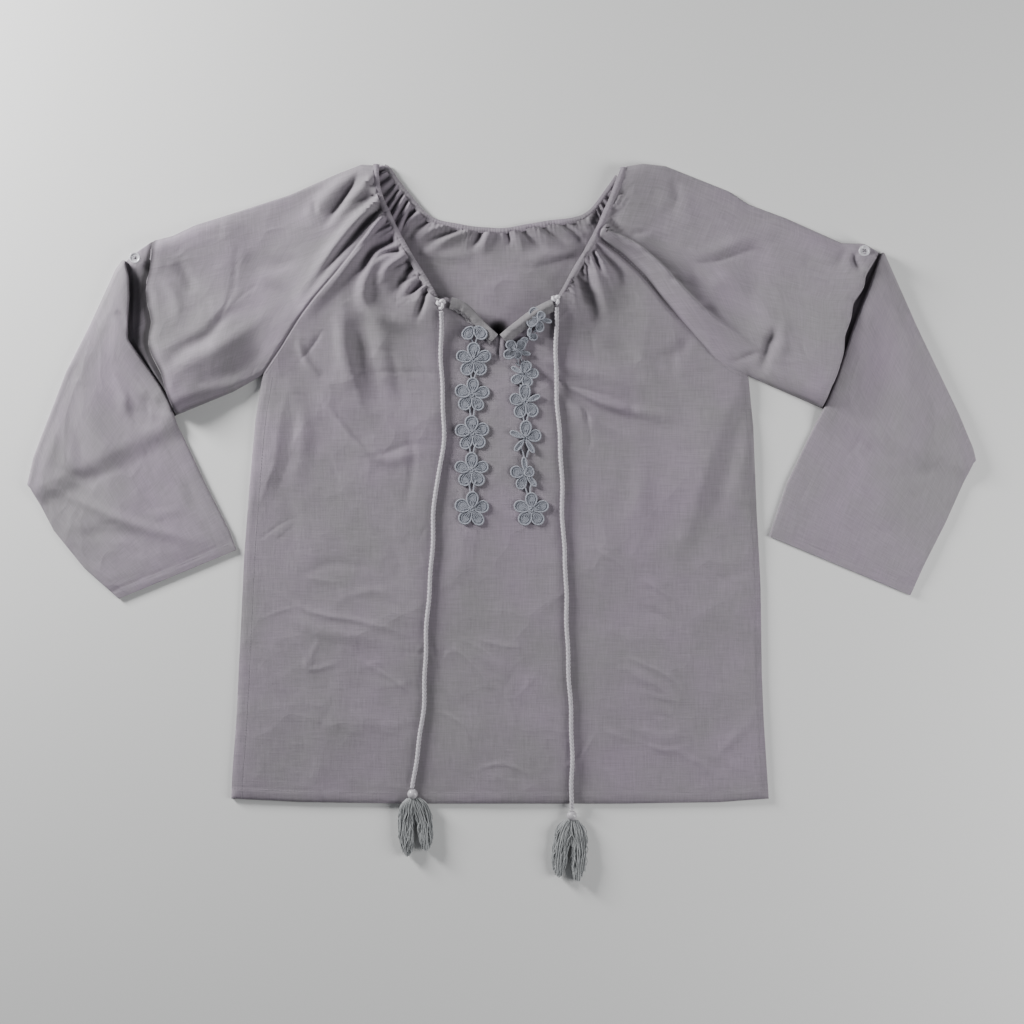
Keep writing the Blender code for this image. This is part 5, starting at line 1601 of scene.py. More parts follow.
        # Painted shade on the front layer's upper arm: darker in hollows and in the drop beside the
        # forearm, where shadow falls.
        tone = LAY.shade(outer[..., 0], outer[..., 1])
        tone[self.upper_rings:] = 0
        tone[:, len(places):] = 0
        first = parts.add_grid(outer, u, v, True, tone)
        inner = self.inner_wall(outer, len(places))
        low_loop = inner.shape[1]
        base = parts.add_grid(inner, u[::self.step], v[::self.step], True)
        ends = [(0, 0), (count - 1, inner.shape[0] - 1)]
        for ring, low_ring in ends:
            for c in range(low_loop):
                run = [first + ring * loop + (c * self.step + k) % loop for k in range(self.step + 1)]
                low = [base + low_ring * low_loop + c, base + low_ring * low_loop + (c + 1) % low_loop]
                parts.add_face(run[::-1] + low)
        made = parts.build(self.shape.name, self.cloth)
        return kept(made, Slot.CLOTH, self.shape.name)

    def inner_wall(self, outer: np.ndarray, front_count: int) -> np.ndarray:
        """Work out the sleeve's inner face, coarser than the outer.

        Args:
            outer: rings by loop by 3.
            front_count: how many points of the loop the front layer has.

        Returns:
            Fewer rings by fewer points by 3.
        """
        loop = outer.shape[1]
        mirror = np.concatenate([np.arange(front_count), np.arange(front_count - 2, 0, -1)])
        partner = np.array([(loop - k) % loop for k in range(loop)])
        middle = 0.5 * (outer + outer[:, partner])
        z, mid = outer[..., 2], middle[..., 2]
        above = z >= mid
        high = np.maximum(windowed(z, self.step, np.min) - WALL, mid + self.hollow_half)
        low = np.minimum(-windowed(-z, self.step, np.min) + WALL, mid - self.hollow_half)
        inner = outer.copy()
        inner[..., 2] = np.where(above, high, low)
        edge = np.minimum(mirror, front_count - 1 - mirror) < 1
        inner[:, edge, 2] = mid[:, edge]
        toward = outer[:, loop // 4][:, None, :2] - outer[..., :2]
        toward /= np.linalg.norm(toward, axis=-1, keepdims=True) + 1e-9
        inset = WALL * (np.minimum(mirror, front_count - 1 - mirror) < 9)
        inner[..., :2] += toward * inset[None, :, None]
        return inner[::self.step, ::self.step]


@dataclass
class ShoulderGathers:
    """Gathered cloth of a sleeve's back layer, seen inside the neck beside the shoulder."""

    cloth: bpy.types.Material
    pitch: float = 7.8
    depth: float = 4.4
    base: float = 2.5

    def strip(self, name: str, neck_edge: Path, far_edge: Path) -> bpy.types.Object:
        """Make the gathers between the back neck seam and the front binding.

        Args:
            name: the piece's name.
            neck_edge: the seam, from the shoulder down.
            far_edge: where the cloth runs under the front binding.

        Returns:
            The strip of cloth.
        """
        across = np.linspace(0, 1, 81)
        down = np.linspace(0, 1, 33)
        top, bottom = at(neck_edge, across), at(far_edge, across)
        flat = patch(top, bottom, at([top[0], bottom[0]], down), at([top[-1], bottom[-1]], down),
                     across, down)
        s = across[None] * steps_of(top).sum()
        phase = 2 * math.pi * s / self.pitch + 0.9 * np.sin(s / 5) + 0.5 * down[:, None]
        ridge = (0.5 + 0.5 * np.sin(phase)) ** 0.75
        fade = 1 - 0.45 * down[:, None] ** 2
        height = self.base + self.depth * ridge * fade * (0.8 + 0.3 * np.sin(s / 6.3 + 1))
        grid = raised(flat, height + 0.25 * uneven(flat[..., 0], flat[..., 1], 5, 6))
        parts = MeshParts()
        # Painted shade: the tone darkens the troughs between the gathers.
        closed_sheet(parts, grid, grid[..., 2] - 0.7, 1, 1.3 * (1 - ridge) ** 1.5)
        return kept(parts.build(name, self.cloth), Slot.CLOTH)

    def build(self) -> list[bpy.types.Object]:
        """Both shoulders' gathers."""
        left = self.strip("shoulder_gathers_left",
                          [(-123, 330.5), (-116, 319), (-102, 301), (-93, 288)],
                          [(-130.5, 329), (-128.5, 303), (-119, 280), (-107, 256)])
        right = self.strip("shoulder_gathers_right",
                           [(121.5, 317), (111, 301), (101, 288), (95, 279)],
                           [(126, 321), (118, 302.5), (109.5, 282), (101, 264)])
        return [left, right]


@dataclass
class NeckBinding:
    """The bound neck: a narrow casing, puckered over the cord inside it."""

    cloth: bpy.types.Material
    thickness: float = 3.0
    rise: float = 9.6
    pleat: float = 2.9

    def band(self, name: str, centre: np.ndarray) -> bpy.types.Object:
        """Make one stretch of it.

        Args:
            name: the piece and the CAD node that it replaces.
            centre: its middle line.

        Returns:
            The stretch.
        """
        along = np.gradient(centre, axis=0)
        along /= np.linalg.norm(along, axis=1)[:, None]
        flat = np.stack([-along[:, 1], along[:, 0], np.zeros(len(along))], -1)
        flat /= np.linalg.norm(flat, axis=1)[:, None]
        up = np.cross(flat, along)
        up *= np.sign(up[:, 2:3])
        s = travelled(centre)
        turn = np.arange(20) * 2 * math.pi / 20
        across = np.sign(np.cos(turn)) * np.abs(np.cos(turn)) ** 0.75
        over = np.sign(np.sin(turn)) * np.abs(np.sin(turn)) ** 0.9
        wave = np.sin(2 * math.pi * s / self.pleat + 1.5 * np.sin(s / 7) + np.sin(s / 2.3))
        swell = 1 + 0.11 * wave + 0.05 * np.sin(s / 11)
        stitched = 1 - 0.34 * np.exp(-(((np.abs(across) - 0.62) / 0.12) ** 2))
        width = 0.56 * BINDING_WIDTH * (1 + 0.06 * np.sin(s / 5.3 + 1) + 0.05 * wave)
        rings = (centre[:, None] + flat[:, None] * (width[:, None] * across)[..., None]
                 + up[:, None] * (0.5 * self.thickness * swell[:, None] * over * stitched)[..., None])
        parts = MeshParts()
        parts.add_tube(rings)
        return kept(parts.build(name, self.cloth), Slot.CLOTH, name)

    def build(self) -> list[bpy.types.Object]:
        """The two front stretches, which fold over the shoulders, and the back."""
        made = []
        for name, path, knot, tip in (
                ("binding_left", NECK_LEFT, (-65.5, 185.5), (-129.6, 329.8)),
                ("binding_right", NECK_RIGHT, (59.5, 188.0), (125.8, 326.4))):
            places = at(smooth([knot, *path]), np.linspace(0, 1, 200))
            height = FRONT_BASE + self.rise * LAY.edge_roll(places[:, 0], places[:, 1])
            height = height + 0.35 * np.sin(places[:, 1] / 9) - 2.6 * ramp((198 - places[:, 1]) / 12)
            centre = raised(places, height)
            end = np.array([[*tip, max(height[-1] - 1.6, 3.6)]])
            made.append(self.band(name, np.concatenate([centre, end])))
        places = at(smooth(NECK_BACK), np.linspace(0, 1, 400))
        lift = 0.9 * np.sin(np.linspace(0, math.pi, 400)) ** 0.5
        made.append(self.band("binding_back", raised(places, 2.0 + lift)))
        return made


@dataclass
class SlitFacings:
    """The slit's facings, turned out on the front, with their topstitching."""

    cloth: bpy.types.Material
    thread: bpy.types.Material
    width: float = 12.0
    thick: float = 1.0

    def strip(self, name: str, edge: Path, start: float, stop: float, curl: float) -> bpy.types.Object:
        """Make one facing.

        Args:
            name: the piece and the CAD node that it replaces.
            edge: the slit's edge.
            start: where along it the facing begins.
            stop: where it ends.
            curl: how far its fold stands up at the slit.

        Returns:
            The facing.
        """
        places = at(smooth(edge), np.linspace(start, stop, 81))
        insets = spaced(-0.6, (1.0, 4), (self.width, 16))
        lines = np.stack([shifted(places, -inset) for inset in insets], 0)
        wave = np.sin(np.arange(81) / 3.4) + 0.6 * np.sin(np.arange(81) / 1.7 + 1)
        lines[-1] += 0.35 * wave[:, None]
        x, y = lines[..., 0], lines[..., 1]
        fade = (insets / self.width)[:, None]
        rolled = curl * np.exp(-((insets[:, None] - 0.42 * self.width) / (0.34 * self.width)) ** 2)
        low = LAY.rest_height(x, y, 4.5) + 0.45 + 0.3 * (1 + wave) * fade + rolled * 0.6
        bevel = 1 - (1 - np.clip((insets + 0.6) / 2.4, 0, 1)) ** 2
        round_edge = np.sqrt(np.clip(bevel, 0.05, 1))[:, None]
        high = low + self.thick * round_edge + rolled * 0.4
        parts = MeshParts()
        closed_sheet(parts, raised(lines, high), low, 2)
        return kept(parts.build(name, self.cloth), Slot.CLOTH, name)

    def build(self) -> list[bpy.types.Object]:
        """Both facings and the zig-zag stitches along the left one."""
        left = self.strip("slit_facing_left", SLIT_LEFT, 0.2, 0.98, 0.5)
        right = self.strip("slit_facing_right", SLIT_RIGHT, 0.02, 0.9, 3.0)
        line = at(shifted(smooth(SLIT_LEFT), -(self.width - 1.6)), np.linspace(0.22, 0.97, 52))
        zigzag = shifted(line, 1.1) * (np.arange(52) % 2)[:, None]
        zigzag = zigzag + shifted(line, -1.1) * (1 - np.arange(52) % 2)[:, None]
        height = LAY.rest_height(zigzag[:, 0], zigzag[:, 1], 4.5) + self.thick + 0.95
        parts = MeshParts()
        parts.add_tube(tube_rings(raised(zigzag, height), 0.32, 6))
        stitch = kept(parts.build("zigzag_stitch", self.thread), Slot.CLOTH)
        return [left, right, stitch]


@dataclass
class Stitching:
    """Rows of straight stitches that lie on the cloth."""

    thread: bpy.types.Material
    length: float = 2.3
    pitch: float = 3.2
    thick: float = 0.26
    beside_seam: float = 1.6
    beside_raglan: float = 2.2

    def row(self, parts: MeshParts, path: np.ndarray, heights: np.ndarray) -> None:
        """Add one row of stitches.

        Args:
            parts: the mesh under way.
            path: the row's line.
            heights: the cloth's height at points evenly along it.
        """
        run = steps_of(path).sum()
        count = int(run / self.pitch)
        marks = np.linspace(0, 1, len(heights))
        for k in range(count):
            middle = (k + 0.5) / count
            spread = 0.5 * self.length / run
            fractions = middle + spread * np.array([-1.0, -0.4, 0.4, 1.0])
            places = at(path, fractions)
            z = np.interp(fractions, marks, heights) + np.array([-0.2, 0.16, 0.16, -0.2])
            parts.add_tube(tube_rings(raised(places, z), self.thick, 4))

    def build(self, cuffs: dict[str, np.ndarray]) -> bpy.types.Object:
        """Make the rows along the hem, the side seams, the raglans and the cuffs.

        Args:
            cuffs: for each cuff, points on its cloth along the stitched line.

        Returns:
            One object with them all.
        """
        parts = MeshParts()
        hem = np.array([(x * 0.992, y + 11.2) for x, y in HEM])
        inset_left, inset_right = LAY.side_insets
        side_left = shifted(smooth(SIDE_LEFT), inset_left + self.beside_seam)
        side_right = shifted(smooth(SIDE_RIGHT), -inset_right - self.beside_seam)
        raglan_left = shifted(smooth(RAGLAN_LEFT), -self.beside_raglan)
        raglan_right = shifted(smooth(RAGLAN_RIGHT), -self.beside_raglan)
        for path in (hem, side_left, side_right, raglan_left, raglan_right):
            places = at(path, np.linspace(0, 1, 400))
            self.row(parts, path, LAY.front_top(places[:, 0], places[:, 1]))
        for points in cuffs.values():
            self.row(parts, points[:, :2], points[:, 2])
        return kept(parts.build("seam_stitches", self.thread), Slot.CLOTH)


class Petal(Enum):
    """How a petal of a daisy lies."""

    OPEN = "open"
    NARROW = "narrow"
    TURNED_IN = "turned in"
    HIDDEN = "hidden"


@dataclass(frozen=True)
class Daisy:
    """One flower: its middle, its turn in degrees, its stretch, and its petals from the top round
    to the left."""

    x: float
    y: float
    turn: float = 0.0
    wide: float = 1.0
    high: float = 1.0
    petals: tuple[Petal, ...] = (Petal.OPEN,) * 5
    tilt: float = 0.0


OPEN, NARROW, TURNED, HIDDEN = Petal.OPEN, Petal.NARROW, Petal.TURNED_IN, Petal.HIDDEN


@dataclass
class LaceTrim:
    """A chain of daisies in cord-edged lace, joined by small loops."""

    name: str
    daisies: list[Daisy]
    lace: bpy.types.Material
    petal_out: float = 10.3
    petal_long: float = 7.9
    petal_wide: float = 6.2
    cord_radius: float = 0.8
    cord_sides: int = 7
    ground_thick: float = 0.9

    def surface(self, x: np.ndarray, y: np.ndarray) -> np.ndarray:
        """Height that the lace lies at, over the facings too."""
        slit = np.minimum(nearest(SLIT_LEFT, x, y)[0], nearest(SLIT_RIGHT, x, y)[0])
        return LAY.rest_height(x, y, 5.0) + 0.5 + 1.8 * (1 - ramp((slit - 15) / 5))

    def oval(self, daisy: Daisy, way: float, out: float, long: float, wide: float,
             count: int) -> np.ndarray:
        """Draw a petal's outline in the plane.

        Args:
            daisy: its flower.
            way: the petal's direction.
            out: distance of its middle from the flower's.
            long: half its length.
            wide: half its width.
            count: points round it.

        Returns:
            The outline's points.
        """
        turn = np.arange(count) * 2 * math.pi / count
        swell = 1 + 0.16 * np.cos(turn)
        u = out + long * np.cos(turn)
        v = wide * np.sin(turn) * swell
        c, s = math.cos(way), math.sin(way)
        flat = np.stack([u * c - v * s, u * s + v * c], -1)
        return np.array([daisy.x, daisy.y]) + flat * np.array([daisy.wide, daisy.high])

    def petal(self, parts: MeshParts, daisy: Daisy, way: float, look: Petal, number: int) -> None:
        """Add one petal: its close-stitched ground, its cord edge and its veins.

        Args:
            parts: the mesh under way.
            daisy: its flower.
            way: the petal's direction.
            look: how it lies.
            number: its place in the trim, which varies it a little.
        """
        if look is HIDDEN:
            return
        out, long, wide, lift = self.petal_out, self.petal_long, self.petal_wide, 0.0
        if look is NARROW:
            wide, long, lift = 0.42 * wide, 0.95 * long, 1.2
        if look is TURNED:
            out, long, wide, lift = 4.6, 5.6, 5.2, 1.8
        long *= 1 + 0.05 * math.sin(number * 2.3)
        wide *= 1 + 0.07 * math.sin(number * 1.7 + 1)
        edge = self.oval(daisy, way, out, long, wide, 40)
        centre = edge.mean(0)
        lean = daisy.tilt * (edge[:, 0] - daisy.x) + 0.9 * math.sin(number * 1.3)
        bed = self.surface(edge[:, 0], edge[:, 1])
        middle = float(self.surface(centre[None, 0], centre[None, 1])[0])
        base = np.maximum(bed, middle - 0.3) + lift + np.maximum(lean, 0)
        rings = []
        for share, height in ((1.0, 0.0), (0.99, 0.55), (0.8, 0.8), (0.45, 1.0), (0.04, 1.05)):
            points = centre + (edge - centre) * share
            z = base * share + (base.mean()) * (1 - share) + self.ground_thick * height - 0.2
            rings.append(raised(points, z))
        parts.add_tube(np.array([raised(centre + (edge - centre) * 0.04, base.mean() - 0.2), *rings]))
        for share, size, mark in ((0.95, 1.0, 1.0), (0.60, 0.5, 0.45)):
            loop = raised(centre + (edge - centre) * share, base * share + base.mean() * (1 - share)
                          + self.ground_thick * 0.75 + 0.1)
            self.loop_cord(parts, loop, self.cord_radius * size, mark)
        root = np.array([daisy.x, daisy.y])
        for slant in (-0.32, 0.0, 0.32):
            tip = centre + (centre - root) * 0.42
            side = np.array([-(tip - root)[1], (tip - root)[0]]) * slant * 0.5
            line = [tuple(root), tuple(centre + side), tuple(tip + side * 1.6)]
            vein = at(line, np.linspace(0.1, 0.62, 6))
            z = np.full(6, base.mean()) + self.ground_thick + 0.3
            parts.add_tube(tube_rings(raised(vein, z), 0.42, 5), 0.8)

    def loop_cord(self, parts: MeshParts, loop: np.ndarray, radius: float, mark: float) -> None:
        """Add a closed cord along a loop of points.

        Args:
            parts: the mesh under way.
            loop: the points, the last joining the first.
            radius: the cord's.
            mark: how light it is, from 0 to 1.
        """
        count = len(loop)
        sides = self.cord_sides
        ahead = np.roll(loop, -1, 0) - np.roll(loop, 1, 0)
        turn = np.arange(sides) * 2 * math.pi / sides
        size = radius * (1 + 0.14 * np.sin(np.arange(count) * 2.1))[:, None]
        first = parts.add_points(ringed(loop, ahead, size, turn), mark)
        for r in range(count):
            near, far = first + r * sides, first + (r + 1) % count * sides
            for c in range(sides):
                n = (c + 1) % sides
                parts.add_face([near + c, near + n, far + n, far + c])

    def centre(self, parts: MeshParts, daisy: Daisy) -> None:
        """Add the flower's middle: a ring of cord round a small boss."""
        turn = np.arange(20) * 2 * math.pi / 20
        ring = np.array([daisy.x, daisy.y]) + np.stack([np.cos(turn), np.sin(turn)], -1) * 1.6
        z = float(self.surface(np.array([daisy.x]), np.array([daisy.y]))[0]) + 1.5
        self.loop_cord(parts, raised(ring, z), 0.7, 0.9)
        boss = np.array([daisy.x, daisy.y]) + (ring - [daisy.x, daisy.y]) * 0.9
        parts.add_tube(np.array([raised(boss, z - 1.7), raised(boss, z - 0.3),
                                 raised(0.5 * (boss + [daisy.x, daisy.y]), z + 0.1)]), 0.3)

    def link(self, parts: MeshParts, above: Daisy, below: Daisy) -> None:
        """Add the two short cords that join a flower to the next one's top petal."""
        start, stop = np.array([above.x, above.y]), np.array([below.x, below.y])
        way = (stop - start) / np.linalg.norm(stop - start)
        side = np.array([-way[1], way[0]])
        reach = np.linalg.norm(stop - start)
        for sign in (-1, 1):
            line = [tuple(start + way * far + side * sign * out)
                    for far, out in ((10.5, 4.6), (15, 2.4), (reach - 17.2, 1.4))]
            places = at(line, np.linspace(0, 1, 6))
            z = self.surface(places[:, 0], places[:, 1]) + 1.0
            parts.add_tube(tube_rings(raised(places, z), 0.75, 6), 1.0)

    def build(self) -> bpy.types.Object:
        """Make the trim as one object."""
        parts = MeshParts()
        for row, daisy in enumerate(self.daisies):
            for k, look in enumerate(daisy.petals):
                way = math.radians(90 + daisy.turn + 72 * k)
                self.petal(parts, daisy, way, look, 5 * row + k)
            if HIDDEN not in daisy.petals[1:]:
                self.centre(parts, daisy)
        for above, below in zip(self.daisies, self.daisies[1:]):
            self.link(parts, above, below)
        return kept(parts.build(self.name, self.lace), Slot.LACE, self.name)


LACE_LEFT = [
    Daisy(-28.0, 163.0, 0, 1.0, 0.95, (HIDDEN, HIDDEN, OPEN, OPEN, HIDDEN)),
    Daisy(-28.8, 127.6, 0),
    Daisy(-30.5, 91.2, -4),
    Daisy(-30.4, 51.5, 3),
    Daisy(-31.0, 13.0, 0),
    Daisy(-30.8, -27.6, -3),
]
LACE_RIGHT = [
    Daisy(39.0, 169.0, 40, 0.72, 0.74, (OPEN, OPEN, OPEN, NARROW, TURNED), 0.06),
    Daisy(27.5, 150.5, 130, 0.52, 0.52, (OPEN, HIDDEN, OPEN, NARROW, HIDDEN), 0.05),
    Daisy(16.0, 136.0, -30, 0.78, 0.72, (OPEN, OPEN, OPEN, TURNED, NARROW), 0.08),
    Daisy(23.2, 113.0, -14, 0.84, 0.74, (OPEN, NARROW, OPEN, OPEN, OPEN), 0.05),
    Daisy(25.0, 84.0, 4, 0.92, 1.0, (OPEN, OPEN, OPEN, OPEN, NARROW)),
    Daisy(24.6, 46.4, -4, 0.94, 0.98, (OPEN, NARROW, NARROW, NARROW, OPEN)),
    Daisy(25.2, 9.4, 8, 0.86, 0.98, (NARROW, OPEN, OPEN, NARROW, TURNED)),
    Daisy(31.0, -28.0, 0),
]


@dataclass(frozen=True)
class CordRoute:
    """One end of the drawcord: its side, its route to the bead, and its tassel."""

    side: str
    route: Path
    tassel_end: Point
    spread: float
    lobes: Point


CORD_LEFT = CordRoute(
    side="left",
    route=[(-62.3, 176.6), (-62.3, 125.8), (-60.4, 81.1), (-60.9, 34.7), (-68.7, -11.4),
           (-70.6, -48.9), (-72.5, -78.6), (-76.8, -135.8), (-78.7, -186), (-80.9, -230.6),
           (-86.5, -275.1), (-91, -309), (-91.8, -316.4)],
    tassel_end=(-87.4, -387.0),
    spread=18.5,
    lobes=(1.0, 0.93),
)
CORD_RIGHT = CordRoute(
    side="right",
    route=[(56.6, 180.8), (56.7, 137.3), (57.5, 92.6), (60.3, 43.7), (62.7, 7.3), (64, -48.9),
           (65.8, -78.6), (67.6, -135.8), (70.9, -219.4), (73.1, -275.1), (73.2, -316),
           (73.1, -339.6)],
    tassel_end=(68.8, -413.0),
    spread=18.5,
    lobes=(0.95, 1.0),
)


@dataclass
class Drawcord:
    """A twisted cord with its knot, bead and tassel."""

    plan: CordRoute
    cotton: bpy.types.Material
    knot_cotton: bpy.types.Material
    yarn: bpy.types.Material
    bead: bpy.types.Material
    strands: int = 420
    shown_radius: float = 0.47 * CORD_WIDTH
    ring_step: float = 0.7

    def lying(self, x: np.ndarray, y: np.ndarray, radius: float) -> np.ndarray:
        """Height of a round thing's middle on the cloth, or past the hem on the surface."""
        past = ramp((HEM_Y - 2 - y) / 8)
        cloth = np.where(y > HEM_Y + 1, LAY.rest_height(x, y, 3.0), FRONT_BASE)
        return (cloth + 0.2) * (1 - past) + SEAM_GAP * past + radius

    def cord(self) -> tuple[bpy.types.Object, np.ndarray]:
        """Make the cord.

        Returns:
            The cord and its centre line in millimetres.
        """
        length = steps_of(smooth(self.plan.route)).sum()
        places = at(smooth(self.plan.route), np.linspace(0, 1, int(length / self.ring_step)))
        run = np.arange(len(places)) * self.ring_step
        sway = 0.45 * np.sin(run / 9.0) + 0.35 * np.sin(run / 23.0 + 2)
        places = places + (shifted(places, 1.0) - places) * sway[:, None]
        height = self.lying(places[:, 0], places[:, 1], self.shown_radius)
        window = np.ones(15) / 15
        height = np.maximum(height, np.convolve(np.pad(height, 7, "edge"), window, "valid"))
        line = raised(places, height)
        parts = MeshParts()
        parts.add_tube(tube_rings(line, self.shown_radius, 20, lobes=3, lobe_depth=0.46, twist=12.0), 1.0)
        name = f"cord_{self.plan.side}"
        return kept(parts.build(name, self.cotton), Slot.CORD, name), line

    def knot(self) -> bpy.types.Object:
        """The overhand knot at the neck, a tube along a trefoil drawn tight."""
        name = f"knot_{self.plan.side}"
        low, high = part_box(name)
        middle = np.array(low + high) * 0.5 / MM
        size = (np.array(high) - np.array(low)) / MM
        radius = 1.9
        t = np.linspace(0, 2 * math.pi, 120, endpoint=False)
        curve = np.stack([np.sin(t) + 2 * np.sin(2 * t), np.cos(t) - 2 * np.cos(2 * t),
                          -np.sin(3 * t)], -1)
        curve = curve / np.abs(curve).max(0) * (0.45 * size - radius) * np.array([1.0, 1.0, 1.1])
        parts = MeshParts()
        line = np.concatenate([middle + curve, (middle + curve)[:3]])
        parts.add_tube(tube_rings(line, radius, 12, lobes=3, lobe_depth=0.25, twist=9.0), 1.0)
        return kept(parts.build(name, self.knot_cotton), Slot.CORD, name)

    def turned_bead(self) -> bpy.types.Object:
        """The bead: a ball with a hole along the cord, made from a sphere by hand."""
        name = f"bead_{self.plan.side}"
        low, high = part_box(name)
        middle = (low + high) / 2
        bpy.ops.object.select_all(action="DESELECT")
        bpy.ops.mesh.primitive_uv_sphere_add(segments=32, ring_count=18, radius=(high.x - low.x) / 2,
                                             location=middle, rotation=(math.pi / 2, 0, 0))
        made = settled(name)
        for sign in (-1, 1):
            self.sink_pole(made, middle, sign)
        soften(made, 1)
        dressed(made, self.bead)
        return kept(made, Slot.BEAD, name)

    def sink_pole(self, made: bpy.types.Object, middle: Vector, sign: int) -> None:
        """Push a round hole into one pole of the bead.

        Args:
            made: the bead.
            middle: its centre.
            sign: which pole, -1 towards the hem.
        """
        reach = max(abs(vert.co.y - middle.y) for vert in made.data.vertices)
        bpy.ops.object.mode_set(mode="EDIT")
        bpy.ops.mesh.select_mode(type="FACE")
        bpy.ops.mesh.select_all(action="DESELECT")
        mesh = bmesh.from_edit_mesh(made.data)
        for face in mesh.faces:
            face.select = (face.calc_center_median().y - middle.y) * sign > 0.9 * reach
        bmesh.update_edit_mesh(made.data)
        bpy.ops.mesh.inset(thickness=0.0003)
        bpy.ops.mesh.extrude_region_move(
            TRANSFORM_OT_translate={"value": (0, -sign * 0.0016, 0)})
        bpy.ops.object.mode_set(mode="OBJECT")

    def tassel(self) -> bpy.types.Object:
        """The tassel: loose wavy yarn that falls in two lobes from the bead."""
        plan = self.plan
        low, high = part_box(f"bead_{plan.side}")
        bead = np.array(low + high)[:2] * 0.5 / MM
        end = np.array(plan.tassel_end, float)
        way = (end - bead) / np.linalg.norm(end - bead)
        side = np.array([-way[1], way[0]])
        top = bead + way * 4.6
        start_z = float(low.z + high.z) * 0.5 / MM - 0.4
        chance = np.random.default_rng(7 if plan.side == "left" else 11)
        q = np.linspace(0, 1, 15)
        spread, settle = 0.38 + 0.62 * (1 - np.exp(-7 * q)), ramp(q * 2.2)
        close = 1 - 0.25 * ramp((q - 0.8) / 0.2)
        parts = MeshParts()
        for number in range(self.strands):
            lobe = number % 2
            angle, out = chance.uniform(0, 2 * math.pi), math.sqrt(chance.uniform(0, 1))
            s, t = out * math.cos(angle), out * math.sin(angle)
            reach = np.linalg.norm(end - top) * plan.lobes[lobe] * (1 - 0.16 * s * s)
            reach *= 1 - 0.12 * chance.uniform(0, 1) ** 2
            apart = 0.30 + 0.24 * ramp(q * 1.6)
            across = plan.spread * spread * ((2 * lobe - 1) * apart + s * (0.98 - apart) * close)
            phase, size = chance.uniform(0, 6.28, 3), 0.2 + 1.6 * chance.uniform(0, 1) ** 2
            across = across + size * spread * np.sin((7 + 5 * size) * q + phase[0])
            along = reach * q + 0.9 * np.sin(8 * q + phase[1]) * q
            height = start_z * (1 - settle) + 5.0 * settle + t * (1.4 + 2.8 * spread) * close
            height = height + 0.7 * size * np.sin(13 * q + phase[2])
            places = top + way * along[:, None] + side * across[:, None]
            rings = tube_rings(raised(places, np.maximum(height, 0.9)), 0.42 - 0.08 * q, 4)
            parts.add_tube(rings, chance.uniform(0, 1))
        name = f"tassel_{plan.side}"
        return kept(parts.build(name, self.yarn), Slot.YARN, name)

    def build(self) -> list[bpy.types.Object]:
        cord, line = self.cord()
        pieces = [self.knot(), self.turned_bead(), self.tassel()]
        tuple(line[0] * MM)
        (line * MM).tolist()
        return [cord, *pieces]


def settled(name: str) -> bpy.types.Object:
    """The object just added, named, with its place and turn applied to its mesh."""
    made = bpy.context.object
    made.name = name
    bpy.ops.object.transform_apply(location=True, rotation=True, scale=True)
    return made


def dressed(made: bpy.types.Object, material: bpy.types.Material) -> None:
    """Give an object one finish and smooth faces."""
    made.data.materials.clear()
    made.data.materials.append(material)
    made.data.shade_smooth()


def soften(made: bpy.types.Object, levels: int) -> None:
    """Apply a Subdivision Surface to an object.

    Args:
        made: the object.
        levels: how many times.
    """
    bpy.context.view_layer.objects.active = made
    finer = made.modifiers.new("finer", "SUBSURF")
    finer.levels = finer.render_levels = levels
    bpy.ops.object.modifier_apply(modifier=finer.name)


